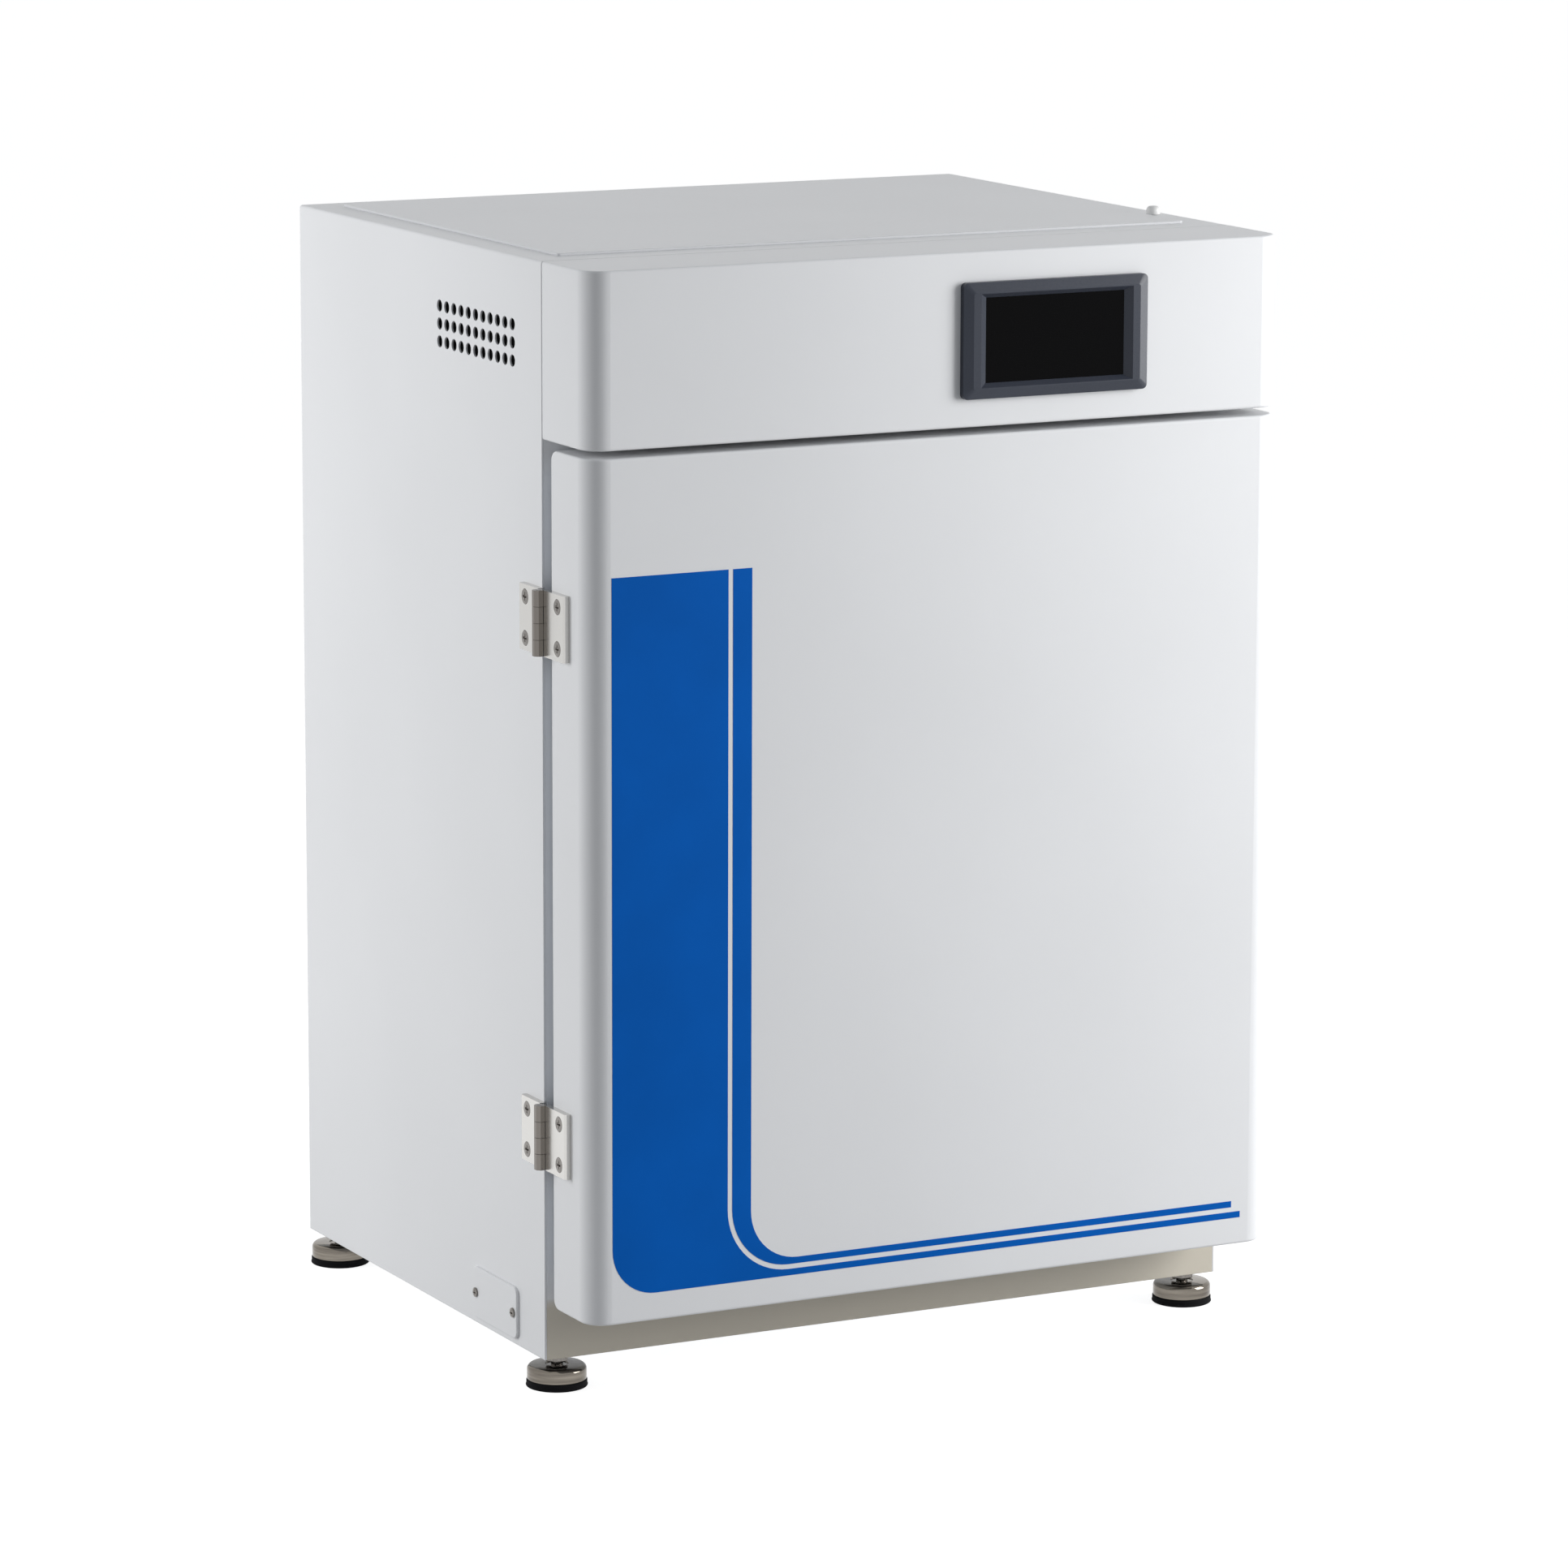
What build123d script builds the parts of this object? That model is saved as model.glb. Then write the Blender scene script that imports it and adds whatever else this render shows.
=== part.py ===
from build123d import *
from math import cos, radians, sin
import os

os.makedirs("parts", exist_ok=True)

# A bench-top carbon dioxide incubator of about 80 litres.
# +X is to the right, +Y to the back and +Z up, with the floor at z = 0.
# The origin is under the middle of the incubator. All sizes are in millimetres.

# Cabinet of folded, painted sheet steel
cabinet_width = 590
cabinet_depth = 450
cabinet_height = 838
sheet = 1.5
fold_radius = 2.5
top_flange = 40
cover_inset = 26
cover_thickness = 2
cover_edge_radius = 0.8
base_thickness = 2
plinth_height = 44.6

# Clearances
running_gap = 0.06
hole_gap = 0.2
moving_gap = 0.3
snug = 0.1
joint_gap = 0.5

# Control head across the top of the front
head_depth = 80
head_height = 132.6
head_shadow_gap = 1.5
head_lip = 12
head_window_width = cabinet_width - 90
head_window_height = 104
corner_radius = 18
edge_radius = 2

# Outer door
door_gap = 15
door_head_gap = 5.7
door_back_radius = 8
return_flange = 30
pan_depth = 12
pan_wall = 1.2
pan_flange = 5
gasket_inset = 8
gasket_width = 14
gasket_base = 4
gasket_waist = 7
gasket_corner = 10
door_stripe_thickness = 0.2

# Finger grip let into the right edge of the door
grip_height = 150
grip_width = 26
grip_depth = 22
grip_wall = 2
grip_lip = 2.5
grip_lip_thickness = 1
grip_behind_front = 40

# Corner hinges on the left
hinge_offset = 7
hinge_forward = 8
hinge_height = 50
lower_hinge_rise = 132.4
upper_hinge_drop = 130
barrel_radius = 4.4
hinge_pin_radius = 2.2
knuckles = 4
knuckle_gap = 0.3
leaf_thickness = 5
leaf_reach = 39
leaf_chamfer = 1.5
hinge_screw_reach = 28
hinge_screw_rise = 15.7
hinge_screw_radius = 2.5
hinge_head_radius = 5.8
hinge_screw_length = 12
nut_plate_thickness = 4
nut_plate_width = 16
recess_length = 6
recess_width = 1.2
recess_depth = 1.6

# Vents in both side walls, level with the electronics
vent_columns = 11
vent_rows = 3
vent_pitch = 13.1
vent_row_pitch = 13.7
vent_radius = 4.6
vent_behind_seam = 116.4
vent_below_top = 65.7

# Service cover low on the left wall
service_width = 80
service_height = 40.6
service_thickness = 2.5
service_radius = 6
service_behind_seam = 86.2
service_above_base = 25.3
service_screw_spacing = 67.5
service_screw_radius = 2
service_head_radius = 3.8
service_head_height = 1.8
service_recess_length = 4.4
service_screw_length = 9
service_hatch_margin = 10
service_recess_depth = 32

# Chamber
side_wall = 95
chamber_above_base = 123
chamber_below_top = 215
chamber_roof = 77
rear_wall = 65
chamber_width = cabinet_width - 2 * side_wall
chamber_height = cabinet_height - chamber_above_base - chamber_below_top
chamber_depth = cabinet_depth - rear_wall
chamber_radius = 20
liner_wall = 1.2
liner_flange = 12
film_thickness = 0.8
film_margin = 45
seal_thickness = 5
seal_width = 10
seal_inset = 2

# Inner glass door
glass_overlap = 12
glass_thickness = 5
glass_radius = 8
inner_axis_offset = 8
inner_axis_forward = 8
inner_knuckle_radius = 4
inner_pin_radius = 2
inner_hinge_height = 18
inner_hinge_margin = 70
inner_hinge_base_width = 18
inner_hinge_base_thickness = 3
inner_clamp_width = 42
inner_clamp_height = 40
inner_clamp_thickness = 3
knob_radius = 9
knob_height = 12
knob_margin = 22

# Latch of the inner door
latch_offset = 19
latch_base_width = 18
latch_base_height = 40
latch_base_thickness = 6
latch_boss_radius = 7
latch_boss_height = 6
latch_pin_radius = 2.5
latch_lever_length = 36
latch_lever_width = 13
latch_lever_thickness = 3

# Shelf rack, shelves and water pan
upright_thickness = 5
upright_width = 20
upright_margin = 25
upright_behind_seam = 50
upright_before_back = 80
window_width = 8
window_height = 12
window_pitch = 28
runner_wall = 1.2
runner_height = 14
runner_width = 12
shelf_levels = (0.19, 0.41, 0.63)
shelf_names = ("shelf_lower", "shelf_middle", "shelf_upper")
shelf_side_clearance = 4
shelf_depth = chamber_depth - 65
runner_length = shelf_depth - 10
shelf_setback = 12
shelf_thickness = 1.2
shelf_rim = 12
shelf_slot_length = 0.115 * chamber_width
shelf_slot_width = 9
shelf_slot_pitch = 0.15 * chamber_width
shelf_slot_row_pitch = shelf_depth / 12
shelf_slot_columns = 6
shelf_slot_rows = 11
pan_width = chamber_width - 62
pan_length = chamber_depth - 85
pan_height = 34
pan_lip = 6
pan_radius = 14

# Air circulation at the back of the chamber
duct_width = 0.55 * chamber_width
duct_above_floor = 25
duct_below_roof = 15
duct_height = chamber_height - duct_above_floor - duct_below_roof
duct_depth = 38
duct_wall = 1.2
duct_radius = 6
fan_below_roof = 75
intake_radius = 45
filter_radius = 58
filter_depth = 24
filter_rim = 6
filter_recess = 4
outlet_columns = 4
outlet_rows = 7
outlet_length = 0.155 * duct_width
outlet_height = 7
outlet_pitch = 0.22 * duct_width
outlet_row_pitch = 30
outlet_above_floor = 150
impeller_radius = 52
impeller_plate = 1.2
impeller_blades = 12
blade_depth = 17
blade_thickness = 1.2
blade_inner_radius = 24
hub_radius = 9
hub_length = 20
hub_to_cover = 7
shaft_radius = 3
shaft_in_motor = 14
motor_radius = 31
motor_length = 46
motor_flange_radius = 38
motor_flange = 3
motor_cap_radius = 12
motor_cap = 7

# Probes and access port through the back wall
beside_duct = 40
probe_drops = (75, 135)
probe_radii = (10, 4)
probe_lengths = (62, 54)
probe_flange_radius = 15
probe_flange = 3
probe_stem_radius = 6
probe_stem_length = 46
port_below_roof = 75
port_bore_radius = 13
port_wall = 3
port_flange_radius = 24
port_flange = 3
stopper_head_radius = 19
stopper_head = 12

# Electronics above the chamber
supply_length = 160
supply_width = 98
supply_height = 42
supply_from_side = 145
supply_behind_seam = 200
supply_lid_radius = 2
board_length = 170
board_width = 120
board_thickness = 1.6
board_beside_supply = 25
board_behind_seam = 190
standoff_height = 8
standoff_radius = 3
standoff_margin = 8
relay_count = 5
relay_pitch = 24
relay_size = 18
relay_height = 15
capacitor_radius = 7
capacitor_height = 22

# Gas line: inlet, filter, valve and tube to the chamber
gas_from_side = 130
gas_above_tray = 52
rear_reach = 25
gas_hex = 17
gas_hex_length = 7
gas_thread_radius = 6
gas_tube_radius = 4
gas_tail = 18
tube_run = 24
gas_filter_radius = 26
gas_filter_thickness = 12
gas_nipple = 10
valve_width = 30
valve_length = 40
valve_coil_width = 24
valve_coil_height = 26
valve_above_axis = 12
tube_bend = 20
tube_lead = 12
nozzle_length = 10

# Mains inlet with switch in the back wall
inlet_from_side = 80
inlet_above_tray = 72
module_width = 34
module_height = 58
module_flange = 2.5
module_body_width = 27.4
module_body_height = 48
module_depth = 26
socket_width = 24.2
socket_height = 16.4
socket_depth = 17
socket_drop = 10
blade_pitch = 7
blade_wide = 2
blade_tall = 4
blade_rise = 2
blade_reach = 14
rocker_rise = 14
rocker_half_width = 9
rocker_height = 12
rocker_window_half = 9.9
rocker_window_height = 12.8
rocker_window_depth = 9
rocker_tilt = 8
rocker_pivot_depth = 1
rocker_crown = 3.2
rocker_dip = 1.6
rocker_skirt = 4
rocker_skirt_half = 8

# Slots in the back wall
rear_slot_count = 14
rear_slot_pitch = 14
rear_slot_width = 5
rear_slot_height = 60

# Display in the control head
display_from_side = 201.5
display_below_top = 67
bezel_width = 159
bezel_height = 88
bezel_radius = 4
bezel_side = 5
display_proud = 7.5
bezel_slope = 7.6
rim_width = 131.5
rim_height = 71
screen_width = 119.4
screen_height = 64.5
screen_recess = 4
screen_thickness = 1.5
display_body_width = 146
display_body_height = 74
display_body_depth = 34

# Printed stripes on the door
band_from_side = 18.5
band_width = 96.3
band_below_top = 88.2
line_above_bottom = 21.4
band_corner = 36
stripe_gap = 3.8
stripe_width = 15.9
stripe_inner_corner = 40
gap_corner = 48
lower_line_height = 5
lower_line_margin = 25
upper_line_margin = 33

# Plug in the right edge of the top
vent_plug_from_side = 14
vent_plug_behind_seam = 93
vent_plug_radius = 5.5
vent_plug_height = 6.5
vent_plug_stem = 3
vent_plug_depth = 12

# Levelling feet
foot_height = 26
foot_inset = 18.5
pad_radius = 24
pad_height = 5.6
cup_radius = 23
cup_height = 11.5
cup_round = 4
stud_radius = 5
stud_in_boss = 13
nut_across_flats = 17
nut_height = 6
boss_width = 32
boss_height = 14

# Places that follow from the sizes
overall_depth = display_proud + head_depth + cabinet_depth + rear_reach
y_front = -overall_depth / 2 + display_proud
y_seam = y_front + head_depth
y_back = y_seam + cabinet_depth
x_side = cabinet_width / 2
x_wall = x_side - sheet
z_base = foot_height
z_top = z_base + cabinet_height
z_head = z_top - head_height
z_door_top = z_head - door_head_gap
z_door_bottom = z_base + plinth_height
z_door = (z_door_top + z_door_bottom) / 2
door_height = z_door_top - z_door_bottom
y_door_back = y_seam - door_gap
y_frame_back = y_seam + sheet
y_wall_back = y_back - sheet
z_chamber = z_base + chamber_above_base
z_chamber_top = z_chamber + chamber_height
z_chamber_mid = z_chamber + chamber_height / 2
y_chamber_back = y_frame_back + chamber_depth
x_liner = chamber_width / 2 + liner_wall
z_liner_bottom = z_chamber - liner_wall
z_liner_top = z_chamber_top + liner_wall
y_liner_back = y_chamber_back + liner_wall
z_tray = z_chamber_top + chamber_roof
z_tray_top = z_tray + sheet
x_hinge = -x_side - hinge_offset
y_hinge = y_seam - hinge_forward
hinge_z = (z_door_bottom + lower_hinge_rise, z_door_top - upper_hinge_drop)
y_pan_floor = y_door_back + pan_wall - pan_depth
y_pan_back = y_pan_floor - pan_wall
z_fan = z_chamber_top - fan_below_roof
probe_x = duct_width / 2 + beside_duct
port_x = -probe_x
z_probes = [z_chamber_top - drop for drop in probe_drops]
z_shelves = [z_chamber + level * chamber_height for level in shelf_levels]
y_uprights = (y_seam + upright_behind_seam, y_chamber_back - upright_before_back)
gas_x = x_side - gas_from_side
inlet_x = inlet_from_side - x_side
supply_x = supply_from_side - x_side
board_x = supply_x + (supply_length + board_length) / 2 + board_beside_supply
display_x = x_side - display_from_side
vent_plug_x = x_side - vent_plug_from_side
y_duct = y_chamber_back - duct_depth
y_tail = y_wall_back - gas_tail
y_filter_back = y_tail - tube_run
y_filter_front = y_filter_back - 2 * gas_nipple - gas_filter_thickness
y_valve_back = y_filter_front - tube_run
y_valve_front = y_valve_back - valve_length
y_nozzle = y_valve_front - tube_lead - tube_bend
z_service = z_base + service_above_base
y_service = y_seam + service_behind_seam
x_foot = x_side - foot_inset
foot_places = {
    "foot_front_left": (-x_foot, y_seam + foot_inset),
    "foot_front_right": (x_foot, y_seam + foot_inset),
    "foot_rear_left": (-x_foot, y_back - foot_inset),
    "foot_rear_right": (x_foot, y_back - foot_inset),
}


# Shared shapes
downwards = (Align.CENTER, Align.CENTER, Align.MAX)


def front_sketch(y):
    """Sketch plane at y, seen from the front: x right, z up, extruding forwards."""
    return Plane.XZ.offset(-y)


def side_sketch(x):
    """Sketch plane at x: y to the back, z up, extruding to the right."""
    return Plane.YZ.offset(x)


def level_sketch(z):
    """Level sketch plane at z, extruding upwards."""
    return Plane.XY.offset(z)


def block(x, y, z, mode=Mode.ADD):
    """Rectangular block given by its low and high limits along each axis."""
    with Locations(tuple((low + high) / 2 for low, high in (x, y, z))):
        Box(abs(x[1] - x[0]), abs(y[1] - y[0]), abs(z[1] - z[0]), mode=mode)


def rod_back(x, z, y_start, y_end, radius, mode=Mode.ADD):
    """Round rod along Y."""
    with BuildSketch(front_sketch(y_start)) as section:
        with Locations((x, z)):
            Circle(radius)
    extrude(section.sketch, amount=y_start - y_end, mode=mode)


def rod_up(x, y, z_start, z_end, radius, mode=Mode.ADD):
    """Round rod along Z."""
    with BuildSketch(level_sketch(z_start)) as section:
        with Locations((x, y)):
            Circle(radius)
    extrude(section.sketch, amount=z_end - z_start, mode=mode)


def rod_right(y, z, x_start, x_end, radius, mode=Mode.ADD):
    """Round rod along X."""
    with BuildSketch(side_sketch(x_start)) as section:
        with Locations((y, z)):
            Circle(radius)
    extrude(section.sketch, amount=x_end - x_start, mode=mode)


def left_face(x, y, z):
    """Plane at x that looks out to the left."""
    return Plane(origin=(x, y, z), x_dir=(0, -1, 0), z_dir=(-1, 0, 0))


def cross_recess(length, width, depth):
    """Cross cut into a screw head, down from the place it is put at."""
    Box(length, width, depth, align=downwards, mode=Mode.SUBTRACT)
    Box(width, length, depth, align=downwards, mode=Mode.SUBTRACT)


def rounded_plate(width, height, radius, centre, y_start, y_end, mode=Mode.ADD):
    """Upright plate with rounded corners between two places along Y."""
    with BuildSketch(front_sketch(y_start)) as section:
        with Locations(centre):
            RectangleRounded(width, height, radius)
    extrude(section.sketch, amount=y_start - y_end, mode=mode)


def front_body(inset, y_rear, z_low, z_high, rear_radius, outer_edge):
    """Solid form of the head or the door, drawn in by inset on every side."""
    with BuildPart() as body:
        half = x_side - inset
        block((-half, half), (y_front + inset, y_rear - inset), (z_low + inset, z_high - inset))
        fillet(body.edges().filter_by(Axis.Z).group_by(Axis.Y)[0], corner_radius - inset)
        if rear_radius > inset:
            fillet(body.edges().filter_by(Axis.X).group_by(Axis.Y)[-1], rear_radius - inset)
        if outer_edge > 0:
            top = body.faces().sort_by(Axis.Z)[-1].edges().group_by(Axis.Y)[:-1]
            bottom = body.faces().sort_by(Axis.Z)[0].edges().group_by(Axis.Y)[:-1]
            fillet([edge for group in top + bottom for edge in group], outer_edge)
    return body.part


# Side walls, each with its top edge folded inwards
def side_panel(side):
    """Side wall on the left (-1) or the right (1), without its own cut-outs."""
    outer = side * x_side
    inner = side * x_wall
    flange_end = side * (x_side - top_flange)
    with BuildPart() as panel:
        with BuildSketch(front_sketch(y_seam)) as section:
            with BuildLine():
                Polyline(
                    (outer, z_base),
                    (outer, z_top),
                    (flange_end, z_top),
                    (flange_end, z_top - sheet),
                    (inner, z_top - sheet),
                    (inner, z_base),
                    close=True,
                )
            make_face()
            fillet(section.vertices().sort_by_distance((outer, z_top))[0], fold_radius)
        extrude(amount=-cabinet_depth)
        with BuildSketch(side_sketch(outer)):
            with Locations((y_seam + vent_behind_seam, z_top - vent_below_top)):
                with GridLocations(vent_pitch, vent_row_pitch, vent_columns, vent_rows):
                    Circle(vent_radius)
        extrude(amount=-side * sheet, mode=Mode.SUBTRACT)
    return panel.part


service_screws = [y_service + end * service_screw_spacing / 2 for end in (-1, 1)]
left_wall = side_panel(-1)
with BuildPart() as left_side_panel:
    add(left_wall)
    for z in hinge_z:
        for rise in (-hinge_screw_rise, hinge_screw_rise):
            rod_right(
                y_hinge + hinge_screw_reach, z + rise, -x_side, -x_wall,
                hinge_screw_radius + hole_gap, Mode.SUBTRACT,
            )
    block(
        (-x_side, -x_wall),
        (y_service - service_width / 2 + service_hatch_margin + service_head_radius,
         y_service + service_width / 2 - service_hatch_margin - service_head_radius),
        (z_service - service_height / 2 + service_hatch_margin,
         z_service + service_height / 2 - service_hatch_margin),
        Mode.SUBTRACT,
    )
    for y in service_screws:
        rod_right(y, z_service, -x_side, -x_wall, service_screw_radius + hole_gap, Mode.SUBTRACT)
left_side_panel.part.label = "left_side_panel"
export_step(left_side_panel.part, "parts/left_side_panel.step")

y_vent_plug = y_seam + vent_plug_behind_seam
right_wall = side_panel(1)
with BuildPart() as right_side_panel:
    add(right_wall)
    rod_up(
        vent_plug_x, y_vent_plug, z_top - sheet, z_top,
        vent_plug_stem + moving_gap, Mode.SUBTRACT,
    )
right_side_panel.part.label = "right_side_panel"
export_step(right_side_panel.part, "parts/right_side_panel.step")

# Removable top cover, lying on the folded edges
with BuildPart() as top_cover:
    cover_half = x_side - cover_inset
    block(
        (-cover_half, cover_half),
        (y_seam + cover_inset, y_back - cover_inset),
        (z_top, z_top + cover_thickness),
    )
    fillet(top_cover.edges().filter_by(Axis.Z), fold_radius)
    fillet(top_cover.faces().sort_by(Axis.Z)[-1].edges(), cover_edge_radius)
top_cover.part.label = "top_cover"
export_step(top_cover.part, "parts/top_cover.step")

# Front frame around the chamber, with the plinth below and the head window above
z_head_mid = (z_head + z_top) / 2
with BuildPart() as front_frame:
    block((-x_wall, x_wall), (y_seam, y_frame_back), (z_base, z_top - sheet))
    flange_half = x_side - top_flange
    block((-flange_half, flange_half), (y_seam, y_seam + top_flange), (z_top - sheet, z_top))
    rounded_plate(
        chamber_width, chamber_height, chamber_radius, (0, z_chamber_mid),
        y_seam, y_frame_back, Mode.SUBTRACT,
    )
    rounded_plate(
        head_window_width, head_window_height, fold_radius, (0, z_head_mid),
        y_seam, y_frame_back, Mode.SUBTRACT,
    )
front_frame.part.label = "front_frame"
export_step(front_frame.part, "parts/front_frame.step")

# Back wall with the cut-outs for the fittings that pass through it
z_port = z_chamber_top - port_below_roof
z_inlet = z_tray_top + inlet_above_tray
z_gas = z_tray_top + gas_above_tray
with BuildPart() as back_panel:
    block((-x_wall, x_wall), (y_wall_back, y_back), (z_base, z_top - sheet))
    block((-flange_half, flange_half), (y_back - top_flange, y_back), (z_top - sheet, z_top))
    rod_back(
        port_x, z_port, y_wall_back, y_back,
        port_bore_radius + port_wall + hole_gap, Mode.SUBTRACT,
    )
    rod_back(gas_x, z_gas, y_wall_back, y_back, gas_thread_radius + hole_gap, Mode.SUBTRACT)
    block(
        (inlet_x - module_body_width / 2 - hole_gap, inlet_x + module_body_width / 2 + hole_gap),
        (y_wall_back, y_back),
        (z_inlet - module_body_height / 2 - hole_gap, z_inlet + module_body_height / 2 + hole_gap),
        Mode.SUBTRACT,
    )
    with BuildSketch(front_sketch(y_wall_back)):
        with Locations((0, (z_tray_top + z_top) / 2)):
            with GridLocations(rear_slot_pitch, 0, rear_slot_count, 1):
                SlotOverall(rear_slot_height, rear_slot_width, rotation=90)
    extrude(amount=-sheet, mode=Mode.SUBTRACT)
back_panel.part.label = "back_panel"
export_step(back_panel.part, "parts/back_panel.step")

# Base plate with a threaded boss over each foot
with BuildPart() as base_plate:
    block((-x_wall, x_wall), (y_frame_back, y_wall_back), (z_base, z_base + base_thickness))
    for x, y in foot_places.values():
        block(
            (max(x - boss_width / 2, -x_wall), min(x + boss_width / 2, x_wall)),
            (max(y - boss_width / 2, y_frame_back), min(y + boss_width / 2, y_wall_back)),
            (z_base, z_base + boss_height),
        )
    for x, y in foot_places.values():
        rod_up(x, y, z_base, z_base + boss_height, stud_radius + running_gap, Mode.SUBTRACT)
base_plate.part.label = "base_plate"
export_step(base_plate.part, "parts/base_plate.step")

# Control head: a folded shell, open at the back, with a lip that bridges the shadow gap
y_head_back = y_seam - head_shadow_gap
z_display = z_top - display_below_top
head_outer = front_body(0, y_head_back, z_head, z_top, 0, edge_radius)
head_inner = front_body(sheet, y_head_back, z_head, z_top, 0, 0)
with BuildPart() as head_shell:
    add(head_outer)
    add(head_inner, mode=Mode.SUBTRACT)
    inner_half = x_side - sheet
    block(
        (-inner_half, inner_half), (y_seam - head_lip, y_seam), (z_head + sheet, z_top - sheet)
    )
    block(
        (sheet - inner_half, inner_half - sheet), (y_seam - head_lip - sheet, y_seam),
        (z_head + 2 * sheet, z_top - 2 * sheet), Mode.SUBTRACT,
    )
    rounded_plate(
        display_body_width + joint_gap, display_body_height + joint_gap, fold_radius,
        (display_x, z_display), y_front, y_front + sheet, Mode.SUBTRACT,
    )
head_shell.part.label = "head_shell"
export_step(head_shell.part, "parts/head_shell.step")

# Display: bezel, touch panel and the housing behind them
with BuildPart() as display_bezel:
    place = (display_x, z_display)
    y_bezel_edge = y_front - bezel_side
    y_bezel_front = y_front - display_proud
    rounded_plate(bezel_width, bezel_height, bezel_radius, place, y_front, y_bezel_edge)
    with BuildSketch(front_sketch(y_bezel_edge)):
        with Locations(place):
            RectangleRounded(bezel_width, bezel_height, bezel_radius)
    with BuildSketch(front_sketch(y_bezel_front)):
        with Locations(place):
            RectangleRounded(
                bezel_width - 2 * bezel_slope, bezel_height - 2 * bezel_slope, bezel_radius / 2
            )
    loft()
    with BuildSketch(front_sketch(y_bezel_front)):
        with Locations(place):
            Rectangle(rim_width, rim_height)
    with BuildSketch(front_sketch(y_bezel_front + screen_recess)):
        with Locations(place):
            Rectangle(screen_width, screen_height)
    loft(mode=Mode.SUBTRACT)
    rounded_plate(
        screen_width, screen_height, snug, place,
        y_bezel_front + screen_recess, y_front, Mode.SUBTRACT,
    )
display_bezel.part.label = "display_bezel"
export_step(display_bezel.part, "parts/display_bezel.step")

y_screen = y_bezel_front + screen_recess
with BuildPart() as display_glass:
    block(
        (display_x - screen_width / 2 + snug, display_x + screen_width / 2 - snug),
        (y_screen, y_screen + screen_thickness),
        (z_display - screen_height / 2 + snug, z_display + screen_height / 2 - snug),
    )
display_glass.part.label = "display_glass"
export_step(display_glass.part, "parts/display_glass.step")

with BuildPart() as display_housing:
    rounded_plate(
        display_body_width, display_body_height, fold_radius, place,
        y_front, y_front + display_body_depth,
    )
    block(
        (display_x - screen_width / 2 + snug, display_x + screen_width / 2 - snug),
        (y_screen + screen_thickness, y_front),
        (z_display - screen_height / 2 + snug, z_display + screen_height / 2 - snug),
    )
display_housing.part.label = "display_housing"
export_step(display_housing.part, "parts/display_housing.step")

# Service cover and its two screws
with BuildPart() as service_cover:
    with BuildSketch(side_sketch(-x_side - service_thickness)):
        with Locations((y_service, z_service)):
            RectangleRounded(service_width, service_height, service_radius)
    extrude(amount=service_thickness)
    fillet(service_cover.faces().sort_by(Axis.X)[0].edges(), cover_edge_radius)
    for y in service_screws:
        rod_right(
            y, z_service, -x_side - service_thickness, -x_side,
            service_screw_radius + hole_gap, Mode.SUBTRACT,
        )
service_cover.part.label = "service_cover"
export_step(service_cover.part, "parts/service_cover.step")

with BuildPart() as service_cover_screws:
    x_cover_face = -x_side - service_thickness
    for y in service_screws:
        rod_right(y, z_service, x_cover_face - service_head_height, x_cover_face, service_head_radius)
        rod_right(
            y, z_service, x_cover_face, x_cover_face + service_screw_length, service_screw_radius
        )
    fillet(service_cover_screws.faces().group_by(Axis.X)[0].edges(), cover_edge_radius)
    for y in service_screws:
        with Locations(left_face(x_cover_face - service_head_height, y, z_service)):
            cross_recess(service_recess_length, recess_width, service_head_height / 2)
service_cover_screws.part.label = "service_cover_screws"
export_step(service_cover_screws.part, "parts/service_cover_screws.step")


# Hinges: leaves, pins, screws with their nut plates
def hinge_leaf(z_centre, side, own_knuckles):
    """Leaf with its knuckles, on the cabinet (side 1) or on the door (side -1)."""
    relief = side * (barrel_radius + knuckle_gap * 2)
    x_face = (-x_side - leaf_thickness, -x_side)
    knuckle = hinge_height / knuckles
    bottom = z_centre - hinge_height / 2
    with BuildPart() as leaf:
        block(x_face, sorted((y_hinge + relief, y_hinge + side * leaf_reach)),
              (bottom, bottom + hinge_height))
        far_face = leaf.faces().sort_by(Axis.Y)[-1 if side > 0 else 0]
        chamfer(far_face.edges().filter_by(Axis.Z).sort_by(Axis.X)[0], leaf_chamfer)
        for number in own_knuckles:
            low = bottom + number * knuckle + knuckle_gap / 2
            high = low + knuckle - knuckle_gap
            block(x_face, sorted((y_hinge, y_hinge + relief)), (low, high))
            with BuildSketch(level_sketch(low)) as section:
                with Locations((x_hinge, y_hinge)):
                    RegularPolygon(barrel_radius, 8, major_radius=False, rotation=22.5)
            extrude(section.sketch, amount=high - low)
        rod_up(
            x_hinge, y_hinge, bottom, bottom + hinge_height,
            hinge_pin_radius + running_gap, Mode.SUBTRACT,
        )
        for rise in (-hinge_screw_rise, hinge_screw_rise):
            y_screw = y_hinge + side * hinge_screw_reach
            with Locations(left_face(-x_side - leaf_thickness, y_screw, z_centre + rise)):
                CounterSinkHole(
                    hinge_screw_radius + hole_gap, hinge_head_radius + hole_gap,
                    depth=2 * leaf_thickness, counter_sink_angle=90,
                )
    return leaf.part


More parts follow.
